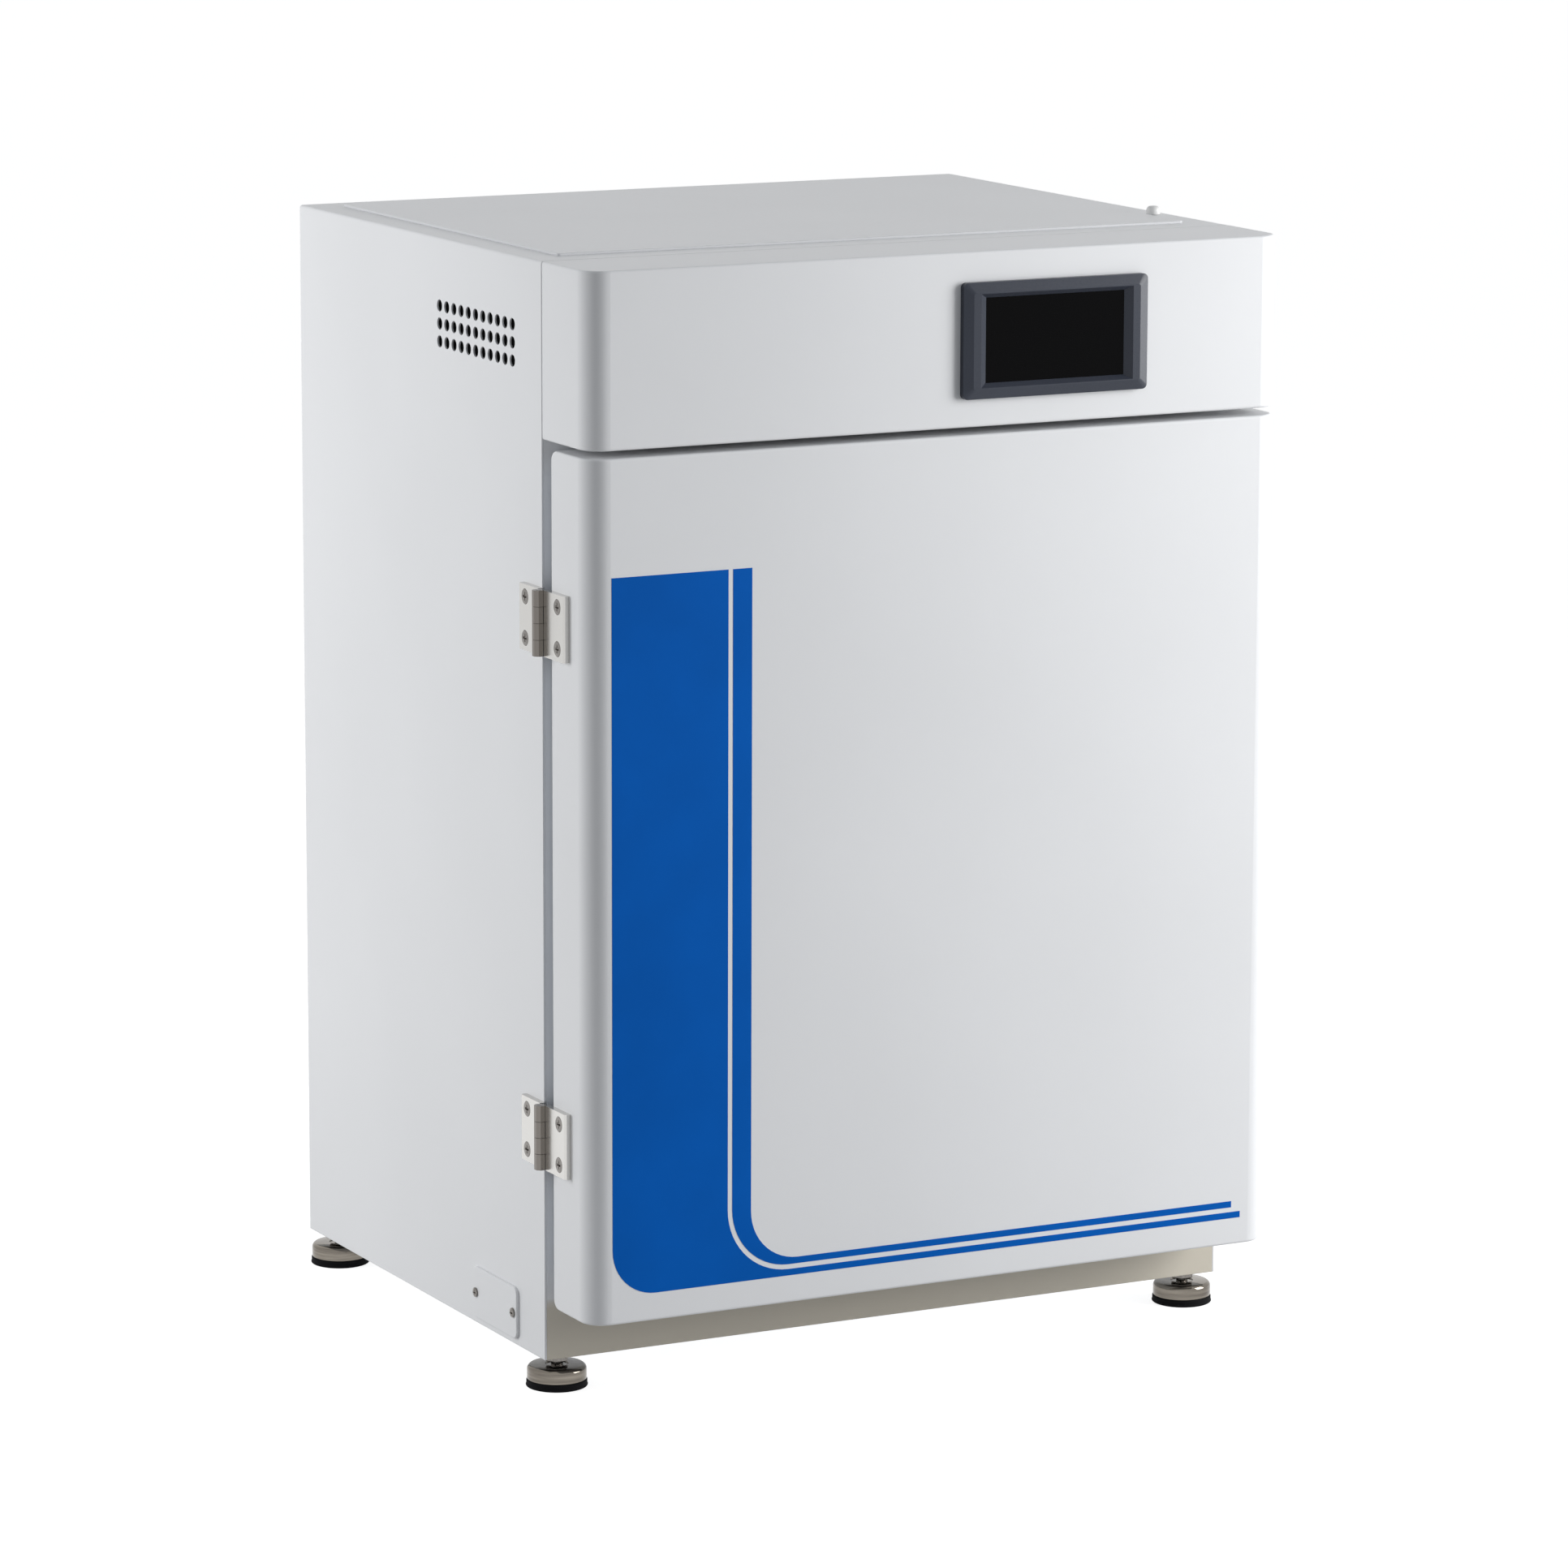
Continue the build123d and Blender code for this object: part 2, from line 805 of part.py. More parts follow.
def hinge_fasteners(side):
    """Countersunk screws of both leaves on one side, and the nut plates behind the sheet."""
    y_screw = y_hinge + side * hinge_screw_reach
    with BuildPart() as fasteners:
        for z_centre in hinge_z:
            for rise in (-hinge_screw_rise, hinge_screw_rise):
                with Locations(left_face(-x_side - leaf_thickness, y_screw, z_centre + rise)):
                    Cylinder(hinge_screw_radius, hinge_screw_length, align=downwards)
                    Cone(
                        hinge_screw_radius, hinge_head_radius,
                        hinge_head_radius - hinge_screw_radius, align=downwards,
                    )
                    cross_recess(recess_length, recess_width, recess_depth)
        for z_centre in hinge_z:
            x_plate = -x_wall + snug
            with BuildSketch(side_sketch(x_plate)):
                with Locations((y_screw, z_centre)):
                    Rectangle(nut_plate_width, hinge_height)
                with Locations(
                    (y_screw, z_centre - hinge_screw_rise), (y_screw, z_centre + hinge_screw_rise)
                ):
                    Circle(hinge_screw_radius + snug, mode=Mode.SUBTRACT)
            extrude(amount=nut_plate_thickness)
    return fasteners.part


cabinet_knuckles = range(0, knuckles, 2)
door_knuckles = range(1, knuckles, 2)
cabinet_leaves = [hinge_leaf(z, 1, cabinet_knuckles) for z in hinge_z]
with BuildPart() as hinge_cabinet_leaves:
    add(cabinet_leaves)
hinge_cabinet_leaves.part.label = "hinge_cabinet_leaves"
export_step(hinge_cabinet_leaves.part, "parts/hinge_cabinet_leaves.step")

door_leaves = [hinge_leaf(z, -1, door_knuckles) for z in hinge_z]
with BuildPart() as hinge_door_leaves:
    add(door_leaves)
hinge_door_leaves.part.label = "hinge_door_leaves"
export_step(hinge_door_leaves.part, "parts/hinge_door_leaves.step")

with BuildPart() as hinge_pins:
    for z in hinge_z:
        rod_up(x_hinge, y_hinge, z - hinge_height / 2, z + hinge_height / 2, hinge_pin_radius)
hinge_pins.part.label = "hinge_pins"
export_step(hinge_pins.part, "parts/hinge_pins.step")

cabinet_fasteners = hinge_fasteners(1)
with BuildPart() as hinge_screws_cabinet:
    add(cabinet_fasteners)
hinge_screws_cabinet.part.label = "hinge_screws_cabinet"
export_step(hinge_screws_cabinet.part, "parts/hinge_screws_cabinet.step")

door_fasteners = hinge_fasteners(-1)
with BuildPart() as hinge_screws_door:
    add(door_fasteners)
hinge_screws_door.part.label = "hinge_screws_door"
export_step(hinge_screws_door.part, "parts/hinge_screws_door.step")

# Outer door: painted shell with return flanges
z_opening_half = door_height / 2 - return_flange
x_opening_half = x_side - return_flange
door_outer = front_body(0, y_door_back, z_door_bottom, z_door_top, door_back_radius, edge_radius)
door_inner = front_body(sheet, y_door_back, z_door_bottom, z_door_top, door_back_radius, 0)
y_grip = y_front + grip_behind_front
with BuildPart() as door_shell:
    add(door_outer)
    add(door_inner, mode=Mode.SUBTRACT)
    block(
        (-x_opening_half, x_opening_half), (y_door_back - 2 * sheet, y_door_back),
        (z_door - z_opening_half, z_door + z_opening_half), Mode.SUBTRACT,
    )
    block(
        (x_wall, x_side), (y_grip - grip_width / 2 - hole_gap, y_grip + grip_width / 2 + hole_gap),
        (z_door - grip_height / 2 - hole_gap, z_door + grip_height / 2 + hole_gap), Mode.SUBTRACT,
    )
    for z in hinge_z:
        for rise in (-hinge_screw_rise, hinge_screw_rise):
            rod_right(
                y_hinge - hinge_screw_reach, z + rise, -x_side, -x_wall,
                hinge_screw_radius + hole_gap, Mode.SUBTRACT,
            )
door_shell.part.label = "door_shell"
export_step(door_shell.part, "parts/door_shell.step")

# Finger grip, a moulded cup with a lip around its mouth
with BuildPart() as door_grip:
    block(
        (x_side - grip_depth, x_side), (y_grip - grip_width / 2, y_grip + grip_width / 2),
        (z_door - grip_height / 2, z_door + grip_height / 2),
    )
    block(
        (x_side, x_side + grip_lip_thickness),
        (y_grip - grip_width / 2 - grip_lip, y_grip + grip_width / 2 + grip_lip),
        (z_door - grip_height / 2 - grip_lip, z_door + grip_height / 2 + grip_lip),
    )
    block(
        (x_side - grip_depth + grip_wall, x_side + grip_lip_thickness),
        (y_grip - grip_width / 2 + grip_wall, y_grip + grip_width / 2 - grip_wall),
        (z_door - grip_height / 2 + grip_wall, z_door + grip_height / 2 - grip_wall),
        Mode.SUBTRACT,
    )
door_grip.part.label = "door_grip"
export_step(door_grip.part, "parts/door_grip.step")

# Inner pan of the door, recessed to clear the glass door and its latch
with BuildPart() as door_liner:
    pan_outer_x = 2 * (x_opening_half - snug)
    pan_outer_z = 2 * (z_opening_half - snug)
    rounded_plate(
        pan_outer_x + 2 * pan_flange, pan_outer_z + 2 * pan_flange, fold_radius + pan_flange,
        (0, z_door), y_door_back + pan_wall, y_door_back,
    )
    rounded_plate(
        pan_outer_x, pan_outer_z, fold_radius, (0, z_door), y_door_back, y_pan_back
    )
    rounded_plate(
        pan_outer_x - 2 * pan_wall, pan_outer_z - 2 * pan_wall, fold_radius - pan_wall,
        (0, z_door), y_door_back + pan_wall, y_pan_floor, Mode.SUBTRACT,
    )
door_liner.part.label = "door_liner"
export_step(door_liner.part, "parts/door_liner.step")

# Heating film behind the pan, which keeps the glass door clear
with BuildPart() as door_heating_film:
    block(
        (-x_opening_half + film_margin, x_opening_half - film_margin),
        (y_pan_back - film_thickness, y_pan_back),
        (z_door - z_opening_half + film_margin, z_door + z_opening_half - film_margin),
    )
door_heating_film.part.label = "door_heating_film"
export_step(door_heating_film.part, "parts/door_heating_film.step")

# Insulation in the door, cut out for the grip and the nut plates
y_door_fill = y_pan_back - film_thickness
filling = front_body(
    sheet + joint_gap, y_door_fill + sheet + joint_gap, z_door_bottom, z_door_top, 0, 0
)
with BuildPart() as door_insulation:
    add(filling)
    block(
        (x_side - grip_depth - joint_gap, x_side),
        (y_grip - grip_width / 2 - joint_gap, y_seam),
        (z_door - grip_height / 2 - joint_gap, z_door + grip_height / 2 + joint_gap),
        Mode.SUBTRACT,
    )
    for z in hinge_z:
        y_screw = y_hinge - hinge_screw_reach
        block(
            (-x_side, -x_wall + nut_plate_thickness + 2 * hinge_screw_radius),
            (y_screw - nut_plate_width / 2 - joint_gap, y_seam),
            (z - hinge_height / 2 - joint_gap, z + hinge_height / 2 + joint_gap),
            Mode.SUBTRACT,
        )
door_insulation.part.label = "door_insulation"
export_step(door_insulation.part, "parts/door_insulation.step")

# Magnetic gasket: wide foot on the door, narrow bellows, wide head against the frame
with BuildPart() as door_gasket:
    gasket_levels = (
        (y_door_back, y_door_back + gasket_base, gasket_width),
        (y_door_back + gasket_base, y_door_back + gasket_base + gasket_waist, gasket_width / 2),
        (y_door_back + gasket_base + gasket_waist, y_seam - moving_gap, gasket_width),
    )
    for y_low, y_high, width in gasket_levels:
        middle = gasket_inset + gasket_width / 2
        outer = middle - width / 2
        inner = middle + width / 2
        rounded_plate(
            cabinet_width - 2 * outer, door_height - 2 * outer, gasket_corner + inner - outer,
            (0, z_door), y_high, y_low,
        )
        rounded_plate(
            cabinet_width - 2 * inner, door_height - 2 * inner, gasket_corner,
            (0, z_door), y_high, y_low, Mode.SUBTRACT,
        )
door_gasket.part.label = "door_gasket"
export_step(door_gasket.part, "parts/door_gasket.step")

# Printed stripes: a broad band that runs out into a thin line, and a stripe inside it
band_left = band_from_side - x_side
band_right = band_left + band_width
stripe_left = band_right + stripe_gap
stripe_right = stripe_left + stripe_width
z_line = z_door_bottom + line_above_bottom
z_band_top = z_door_top - band_below_top
lower_line_end = x_side - lower_line_margin
upper_line_end = x_side - upper_line_margin
z_gap = z_line + lower_line_height
z_stripe = z_gap + stripe_gap
outer_turn = gap_corner + stripe_gap
z_stripe_top = z_stripe + lower_line_height
with BuildPart() as door_stripes:
    with BuildSketch(front_sketch(y_front)):
        with BuildLine():
            Line((band_left, z_band_top), (band_left, z_line + band_corner))
            JernArc(
                (band_left, z_line + band_corner), (0, -1), band_corner, 90
            )
            Line((band_left + band_corner, z_line), (lower_line_end, z_line))
            Line((lower_line_end, z_line), (lower_line_end, z_gap))
            Line((lower_line_end, z_gap), (band_right + outer_turn, z_gap))
            JernArc((band_right + outer_turn, z_gap), (-1, 0), outer_turn, -90)
            Line((band_right, z_gap + outer_turn), (band_right, z_band_top))
            Line((band_right, z_band_top), (band_left, z_band_top))
        make_face()
    with BuildSketch(front_sketch(y_front)):
        with BuildLine():
            Line((stripe_left, z_band_top), (stripe_left, z_stripe + gap_corner))
            JernArc((stripe_left, z_stripe + gap_corner), (0, -1), gap_corner, 90)
            Line((stripe_left + gap_corner, z_stripe), (upper_line_end, z_stripe))
            Line((upper_line_end, z_stripe), (upper_line_end, z_stripe_top))
            Line((upper_line_end, z_stripe_top), (stripe_right + stripe_inner_corner, z_stripe_top))
            JernArc(
                (stripe_right + stripe_inner_corner, z_stripe_top), (-1, 0),
                stripe_inner_corner, -90,
            )
            Line((stripe_right, z_stripe_top + stripe_inner_corner), (stripe_right, z_band_top))
            Line((stripe_right, z_band_top), (stripe_left, z_band_top))
        make_face()
    extrude(amount=door_stripe_thickness)
door_stripes.part.label = "door_stripes"
export_step(door_stripes.part, "parts/door_stripes.step")

# Chamber liner: a rounded stainless box with a flange behind the front frame
with BuildPart() as chamber_liner:
    middle = (0, z_chamber_mid)
    rounded_plate(
        chamber_width + 2 * liner_wall, chamber_height + 2 * liner_wall,
        chamber_radius + liner_wall, middle, y_frame_back, y_liner_back,
    )
    rounded_plate(
        chamber_width + 2 * liner_flange, chamber_height + 2 * liner_flange,
        chamber_radius + liner_flange, middle, y_frame_back, y_frame_back + liner_wall,
    )
    rounded_plate(
        chamber_width, chamber_height, chamber_radius, middle,
        y_frame_back, y_chamber_back, Mode.SUBTRACT,
    )
    rod_back(0, z_fan, y_chamber_back, y_liner_back, shaft_radius * 2, Mode.SUBTRACT)
    rod_back(
        port_x, z_port, y_chamber_back, y_liner_back,
        port_bore_radius + port_wall + hole_gap, Mode.SUBTRACT,
    )
    for z in z_probes:
        rod_back(
            probe_x, z, y_chamber_back, y_liner_back, probe_stem_radius + hole_gap, Mode.SUBTRACT
        )
    rod_up(gas_x, y_nozzle, z_chamber_top, z_liner_top, gas_tube_radius + hole_gap, Mode.SUBTRACT)
chamber_liner.part.label = "chamber_liner"
export_step(chamber_liner.part, "parts/chamber_liner.step")

# Heating films glued to the four long faces of the liner
y_film = (y_frame_back + film_margin, y_liner_back - film_margin)
z_film = (z_liner_bottom + film_margin, z_liner_top - film_margin)
x_film = (-x_liner + film_margin, x_liner - film_margin)
with BuildPart() as heating_films:
    block((-x_liner - film_thickness, -x_liner), y_film, z_film)
    block((x_liner, x_liner + film_thickness), y_film, z_film)
    block(x_film, y_film, (z_liner_bottom - film_thickness, z_liner_bottom))
    block(x_film, y_film, (z_liner_top, z_liner_top + film_thickness))
heating_films.part.label = "heating_films"
export_step(heating_films.part, "parts/heating_films.step")

# Insulation slabs on five sides of the chamber
x_fill = x_liner + film_thickness
y_fill = (y_frame_back + liner_wall, y_wall_back)
z_low_fill = z_liner_bottom - film_thickness
z_high_fill = z_liner_top + film_thickness
x_between = (-x_fill + joint_gap, x_fill - joint_gap)
with BuildPart() as chamber_insulation:
    block((-x_wall, -x_fill), y_fill, (z_base + base_thickness, z_tray))
    block((x_fill, x_wall), y_fill, (z_base + base_thickness, z_tray))
    block(x_between, y_fill, (z_base + base_thickness, z_low_fill))
    block(x_between, y_fill, (z_high_fill, z_tray))
    block(x_between, (y_liner_back, y_wall_back), (z_low_fill + joint_gap, z_high_fill - joint_gap))
    for x, y in foot_places.values():
        reach = boss_width / 2 + joint_gap
        block(
            (x - reach, x + reach), (y - reach, y + reach),
            (z_base, z_base + boss_height + joint_gap), Mode.SUBTRACT,
        )
    for z in hinge_z:
        y_screw = y_hinge + hinge_screw_reach
        reach = nut_plate_width / 2 + joint_gap
        block(
            (-x_wall, -x_wall + nut_plate_thickness + 2 * hinge_screw_radius),
            (y_screw - reach, y_screw + reach),
            (z - hinge_height / 2 - joint_gap, z + hinge_height / 2 + joint_gap),
            Mode.SUBTRACT,
        )
    block(
        (-x_wall, -x_wall + service_recess_depth),
        (y_service - service_width / 2, y_service + service_width / 2),
        (z_base, z_service + service_height / 2),
        Mode.SUBTRACT,
    )
    rod_back(0, z_fan, y_liner_back, y_wall_back, motor_flange_radius + joint_gap, Mode.SUBTRACT)
    rod_back(
        port_x, z_port, y_liner_back, y_wall_back,
        port_bore_radius + port_wall + joint_gap, Mode.SUBTRACT,
    )
    for z in z_probes:
        rod_back(
            probe_x, z, y_liner_back, y_wall_back, probe_stem_radius + joint_gap, Mode.SUBTRACT
        )
    rod_up(gas_x, y_nozzle, z_high_fill, z_tray, gas_tube_radius + joint_gap, Mode.SUBTRACT)
chamber_insulation.part.label = "chamber_insulation"
export_step(chamber_insulation.part, "parts/chamber_insulation.step")

# Silicone seal that the glass door closes on
with BuildPart() as chamber_seal:
    seal_inner = 2 * seal_inset
    seal_outer = seal_inner + 2 * seal_width
    rounded_plate(
        chamber_width + seal_outer, chamber_height + seal_outer,
        chamber_radius + seal_outer / 2, middle, y_seam, y_seam - seal_thickness,
    )
    rounded_plate(
        chamber_width + seal_inner, chamber_height + seal_inner,
        chamber_radius + seal_inner / 2, middle, y_seam, y_seam - seal_thickness, Mode.SUBTRACT,
    )
chamber_seal.part.label = "chamber_seal"
export_step(chamber_seal.part, "parts/chamber_seal.step")

# Inner glass door with hinge clamps and knob
x_glass = chamber_width / 2 + glass_overlap
z_glass_half = chamber_height / 2 + glass_overlap
y_glass_back = y_seam - seal_thickness - moving_gap
y_glass_front = y_glass_back - glass_thickness
with BuildPart() as inner_door_glass:
    rounded_plate(
        2 * x_glass, 2 * z_glass_half, glass_radius, middle, y_glass_back, y_glass_front
    )
inner_door_glass.part.label = "inner_door_glass"
export_step(inner_door_glass.part, "parts/inner_door_glass.step")

x_inner_axis = -x_glass - inner_axis_offset
y_inner_axis = y_seam - inner_axis_forward
inner_hinge_z = [
    z_chamber_mid + end * (z_glass_half - inner_hinge_margin) for end in (-1, 1)
]
with BuildPart() as inner_door_fittings:
    for z in inner_hinge_z:
        half = inner_hinge_height / 2
        block(
            (x_inner_axis, x_inner_axis + inner_clamp_width),
            (y_glass_front - inner_clamp_thickness, y_glass_front), (z - half, z + half),
        )
        block(
            (-x_glass, x_inner_axis + inner_clamp_width),
            (y_glass_front - inner_clamp_thickness, y_glass_front),
            (z - inner_clamp_height / 2, z + inner_clamp_height / 2),
        )
        rod_up(x_inner_axis, y_inner_axis, z - half, z + half, inner_knuckle_radius)
        rod_up(
            x_inner_axis, y_inner_axis, z - half, z + half,
            inner_pin_radius + running_gap, Mode.SUBTRACT,
        )
    rod_back(
        x_glass - knob_margin, z_chamber_mid, y_glass_front, y_glass_front - knob_height, knob_radius
    )
    fillet(inner_door_fittings.faces().sort_by(Axis.Y)[0].edges(), edge_radius)
inner_door_fittings.part.label = "inner_door_fittings"
export_step(inner_door_fittings.part, "parts/inner_door_fittings.step")

# Brackets on the frame for the inner door, each with its pin
with BuildPart() as inner_hinge_bases:
    for z in inner_hinge_z:
        half = inner_hinge_height / 2 + moving_gap
        ear = inner_hinge_height / 2
        block(
            (x_inner_axis - inner_hinge_base_width / 2, x_inner_axis + inner_knuckle_radius),
            (y_seam - inner_hinge_base_thickness, y_seam), (z - half - ear, z + half + ear),
        )
        for low, high in ((z - half - ear, z - half), (z + half, z + half + ear)):
            block(
                (x_inner_axis - inner_knuckle_radius, x_inner_axis + inner_knuckle_radius),
                (y_inner_axis, y_seam), (low, high),
            )
            rod_up(x_inner_axis, y_inner_axis, low, high, inner_knuckle_radius)
        rod_up(x_inner_axis, y_inner_axis, z - half - ear, z + half + ear, inner_pin_radius)
inner_hinge_bases.part.label = "inner_hinge_bases"
export_step(inner_hinge_bases.part, "parts/inner_hinge_bases.step")

# Latch: base with pivot on the frame, and the lever that turns over the glass
x_latch = x_glass + latch_offset
y_latch_base = y_seam - latch_base_thickness
y_lever_back = y_latch_base - latch_boss_height
y_lever_front = y_lever_back - latch_lever_thickness
with BuildPart() as latch_base:
    rounded_plate(
        latch_base_width, latch_base_height, fold_radius, (x_latch, z_chamber_mid),
        y_seam, y_latch_base,
    )
    rod_back(
        x_latch, z_chamber_mid, y_latch_base, y_lever_back + moving_gap, latch_boss_radius
    )
    rod_back(
        x_latch, z_chamber_mid, y_lever_back + moving_gap, y_lever_front - moving_gap,
        latch_pin_radius,
    )
    rod_back(
        x_latch, z_chamber_mid, y_lever_front - moving_gap,
        y_lever_front - moving_gap - sheet, latch_boss_radius - fold_radius,
    )
latch_base.part.label = "latch_base"
export_step(latch_base.part, "parts/latch_base.step")

with BuildPart() as latch_lever:
    z_lever_mid = z_chamber_mid + latch_lever_length / 2 - latch_lever_width / 2
    with BuildSketch(front_sketch(y_lever_back)):
        with Locations((x_latch, z_lever_mid)):
            SlotOverall(latch_lever_length, latch_lever_width, rotation=90)
        with Locations((x_latch, z_chamber_mid)):
            Circle(latch_pin_radius + running_gap, mode=Mode.SUBTRACT)
    extrude(amount=latch_lever_thickness)
latch_lever.part.label = "latch_lever"
export_step(latch_lever.part, "parts/latch_lever.step")

# Shelf rack: four punched uprights and a pair of runners for each shelf
x_upright = chamber_width / 2 - upright_thickness
upright_height = chamber_height - 2 * upright_margin
window_count = int((upright_height - window_pitch) // window_pitch)
with BuildPart() as shelf_rack:
    for side in (-1, 1):
        for y in y_uprights:
            with BuildSketch(side_sketch(side * x_upright)):
                with Locations((y, z_chamber_mid)):
                    Rectangle(upright_width, upright_height)
                    with GridLocations(0, window_pitch, 1, window_count):
                        Rectangle(window_width, window_height, mode=Mode.SUBTRACT)
            extrude(amount=side * upright_thickness)
        for z_shelf in z_shelves:
            z_leg = z_shelf - moving_gap
            y_runner = (y_seam + shelf_setback, y_seam + shelf_setback + runner_length)
            x_leg = side * (x_upright - snug)
            block(
                sorted((x_leg, x_leg - side * runner_wall)), y_runner,
                (z_leg - runner_wall, z_leg - runner_wall + runner_height),
            )
            block(
                sorted((x_leg, x_leg - side * runner_width)), y_runner, (z_leg - runner_wall, z_leg)
            )
shelf_rack.part.label = "shelf_rack"
export_step(shelf_rack.part, "parts/shelf_rack.step")

# Perforated shelves, with a front edge turned down and a back edge turned up
x_shelf = x_upright - snug - runner_wall - shelf_side_clearance
x_rim = x_upright - runner_width - shelf_side_clearance
y_shelf = y_seam + shelf_setback
for name, z_shelf in zip(shelf_names, z_shelves):
    with BuildPart() as shelf:
        block(
            (-x_shelf, x_shelf), (y_shelf, y_shelf + shelf_depth),
            (z_shelf, z_shelf + shelf_thickness),
        )
        with BuildSketch(level_sketch(z_shelf)):
            with Locations((0, y_shelf + shelf_depth / 2)):
                with GridLocations(
                    shelf_slot_pitch, shelf_slot_row_pitch, shelf_slot_columns, shelf_slot_rows
                ):
                    SlotOverall(shelf_slot_length, shelf_slot_width)
        extrude(amount=shelf_thickness, mode=Mode.SUBTRACT)
        block(
            (-x_rim, x_rim), (y_shelf, y_shelf + shelf_thickness),
            (z_shelf - shelf_rim, z_shelf + shelf_thickness),
        )
        block(
            (-x_rim, x_rim),
            (y_shelf + shelf_depth - shelf_thickness, y_shelf + shelf_depth),
            (z_shelf, z_shelf + shelf_rim),
        )
    shelf.part.label = name
    export_step(shelf.part, f"parts/{name}.step")

# Water pan on the chamber floor
y_pan = (y_shelf, y_shelf + pan_length)
y_pan_mid = (y_pan[0] + y_pan[1]) / 2
z_pan = z_chamber + moving_gap
with BuildPart() as water_pan:
    with BuildSketch(level_sketch(z_pan)):
        with Locations((0, y_pan_mid)):
            RectangleRounded(pan_width, pan_length, pan_radius)
    extrude(amount=pan_height)
    with BuildSketch(level_sketch(z_pan + pan_height - pan_wall)):
        with Locations((0, y_pan_mid)):
            RectangleRounded(
                pan_width + 2 * pan_lip, pan_length + 2 * pan_lip, pan_radius + pan_lip
            )
    extrude(amount=pan_wall)
    with BuildSketch(level_sketch(z_pan + pan_wall)):
        with Locations((0, y_pan_mid)):
            RectangleRounded(
                pan_width - 2 * pan_wall, pan_length - 2 * pan_wall, pan_radius - pan_wall
            )
    extrude(amount=pan_height, mode=Mode.SUBTRACT)
water_pan.part.label = "water_pan"
export_step(water_pan.part, "parts/water_pan.step")

# Duct cover on the back wall of the chamber
z_duct_low = z_chamber + duct_above_floor
z_duct_mid = z_duct_low + duct_height / 2
with BuildPart() as air_duct_cover:
    rounded_plate(
        duct_width, duct_height, duct_radius, (0, z_duct_mid), y_duct, y_chamber_back
    )
    rounded_plate(
        duct_width - 2 * duct_wall, duct_height - 2 * duct_wall, duct_radius - duct_wall,
        (0, z_duct_mid), y_duct + duct_wall, y_chamber_back, Mode.SUBTRACT,
    )
    rod_back(0, z_fan, y_duct, y_duct + duct_wall, intake_radius, Mode.SUBTRACT)
    with BuildSketch(front_sketch(y_duct)):
        with Locations((0, z_chamber + outlet_above_floor)):
            with GridLocations(outlet_pitch, outlet_row_pitch, outlet_columns, outlet_rows):
                SlotOverall(outlet_length, outlet_height)
    extrude(amount=-duct_wall, mode=Mode.SUBTRACT)
air_duct_cover.part.label = "air_duct_cover"
export_step(air_duct_cover.part, "parts/air_duct_cover.step")

# Round filter over the fan intake
y_intake_filter = y_duct - filter_depth
with BuildPart() as intake_filter:
    rod_back(0, z_fan, y_intake_filter, y_duct, filter_radius)
    rod_back(
        0, z_fan, y_intake_filter, y_intake_filter + filter_recess, filter_radius - filter_rim,
        Mode.SUBTRACT,
    )
intake_filter.part.label = "intake_filter"
export_step(intake_filter.part, "parts/intake_filter.step")

# Fan: impeller and shaft inside the duct, motor behind the liner
y_hub = y_duct + duct_wall + hub_to_cover
y_hub_end = y_hub + hub_length
y_plate = y_hub_end - impeller_plate
blade_middle = (blade_inner_radius + impeller_radius) / 2
with BuildPart() as fan_impeller:
    rod_back(0, z_fan, y_plate, y_hub_end, impeller_radius)
    rod_back(0, z_fan, y_hub, y_hub_end, hub_radius)
    with Locations(Plane(origin=(0, y_plate, z_fan), x_dir=(1, 0, 0), z_dir=(0, -1, 0))):
        with PolarLocations(blade_middle, impeller_blades):
            Box(
                impeller_radius - blade_inner_radius, blade_thickness, blade_depth,
                rotation=(0, 0, 30), align=(Align.CENTER, Align.CENTER, Align.MIN),
            )
    rod_back(0, z_fan, y_hub, y_hub_end, shaft_radius + snug / 2, Mode.SUBTRACT)
    rod_back(0, z_fan, y_hub, y_liner_back + shaft_in_motor, shaft_radius)
fan_impeller.part.label = "fan_impeller"
export_step(fan_impeller.part, "parts/fan_impeller.step")

with BuildPart() as fan_motor:
    rod_back(0, z_fan, y_liner_back, y_liner_back + motor_flange, motor_flange_radius)
    rod_back(0, z_fan, y_liner_back, y_liner_back + motor_length, motor_radius)
    rod_back(
        0, z_fan, y_liner_back + motor_length, y_liner_back + motor_length + motor_cap,
        motor_cap_radius,
    )
    rod_back(
        0, z_fan, y_liner_back, y_liner_back + shaft_in_motor + joint_gap,
        shaft_radius + running_gap, Mode.SUBTRACT,
    )
fan_motor.part.label = "fan_motor"
export_step(fan_motor.part, "parts/fan_motor.step")

# Gas sensor and temperature probe through the back wall of the chamber
with BuildPart() as chamber_sensors:
    for z_probe, radius, length in zip(z_probes, probe_radii, probe_lengths):
        rod_back(probe_x, z_probe, y_chamber_back - length, y_chamber_back, radius)
        rod_back(
            probe_x, z_probe, y_chamber_back - probe_flange, y_chamber_back, probe_flange_radius
        )
        rod_back(
            probe_x, z_probe, y_chamber_back, y_liner_back + probe_stem_length, probe_stem_radius
        )
chamber_sensors.part.label = "chamber_sensors"
export_step(chamber_sensors.part, "parts/chamber_sensors.step")

# Access port: sleeve through the back wall, with its stopper
with BuildPart() as access_port_sleeve:
    rod_back(port_x, z_port, y_chamber_back, y_back, port_bore_radius + port_wall)
    rod_back(port_x, z_port, y_back, y_back + port_flange, port_flange_radius)
    rod_back(
        port_x, z_port, y_chamber_back, y_back + port_flange, port_bore_radius, Mode.SUBTRACT
    )
access_port_sleeve.part.label = "access_port_sleeve"
export_step(access_port_sleeve.part, "parts/access_port_sleeve.step")

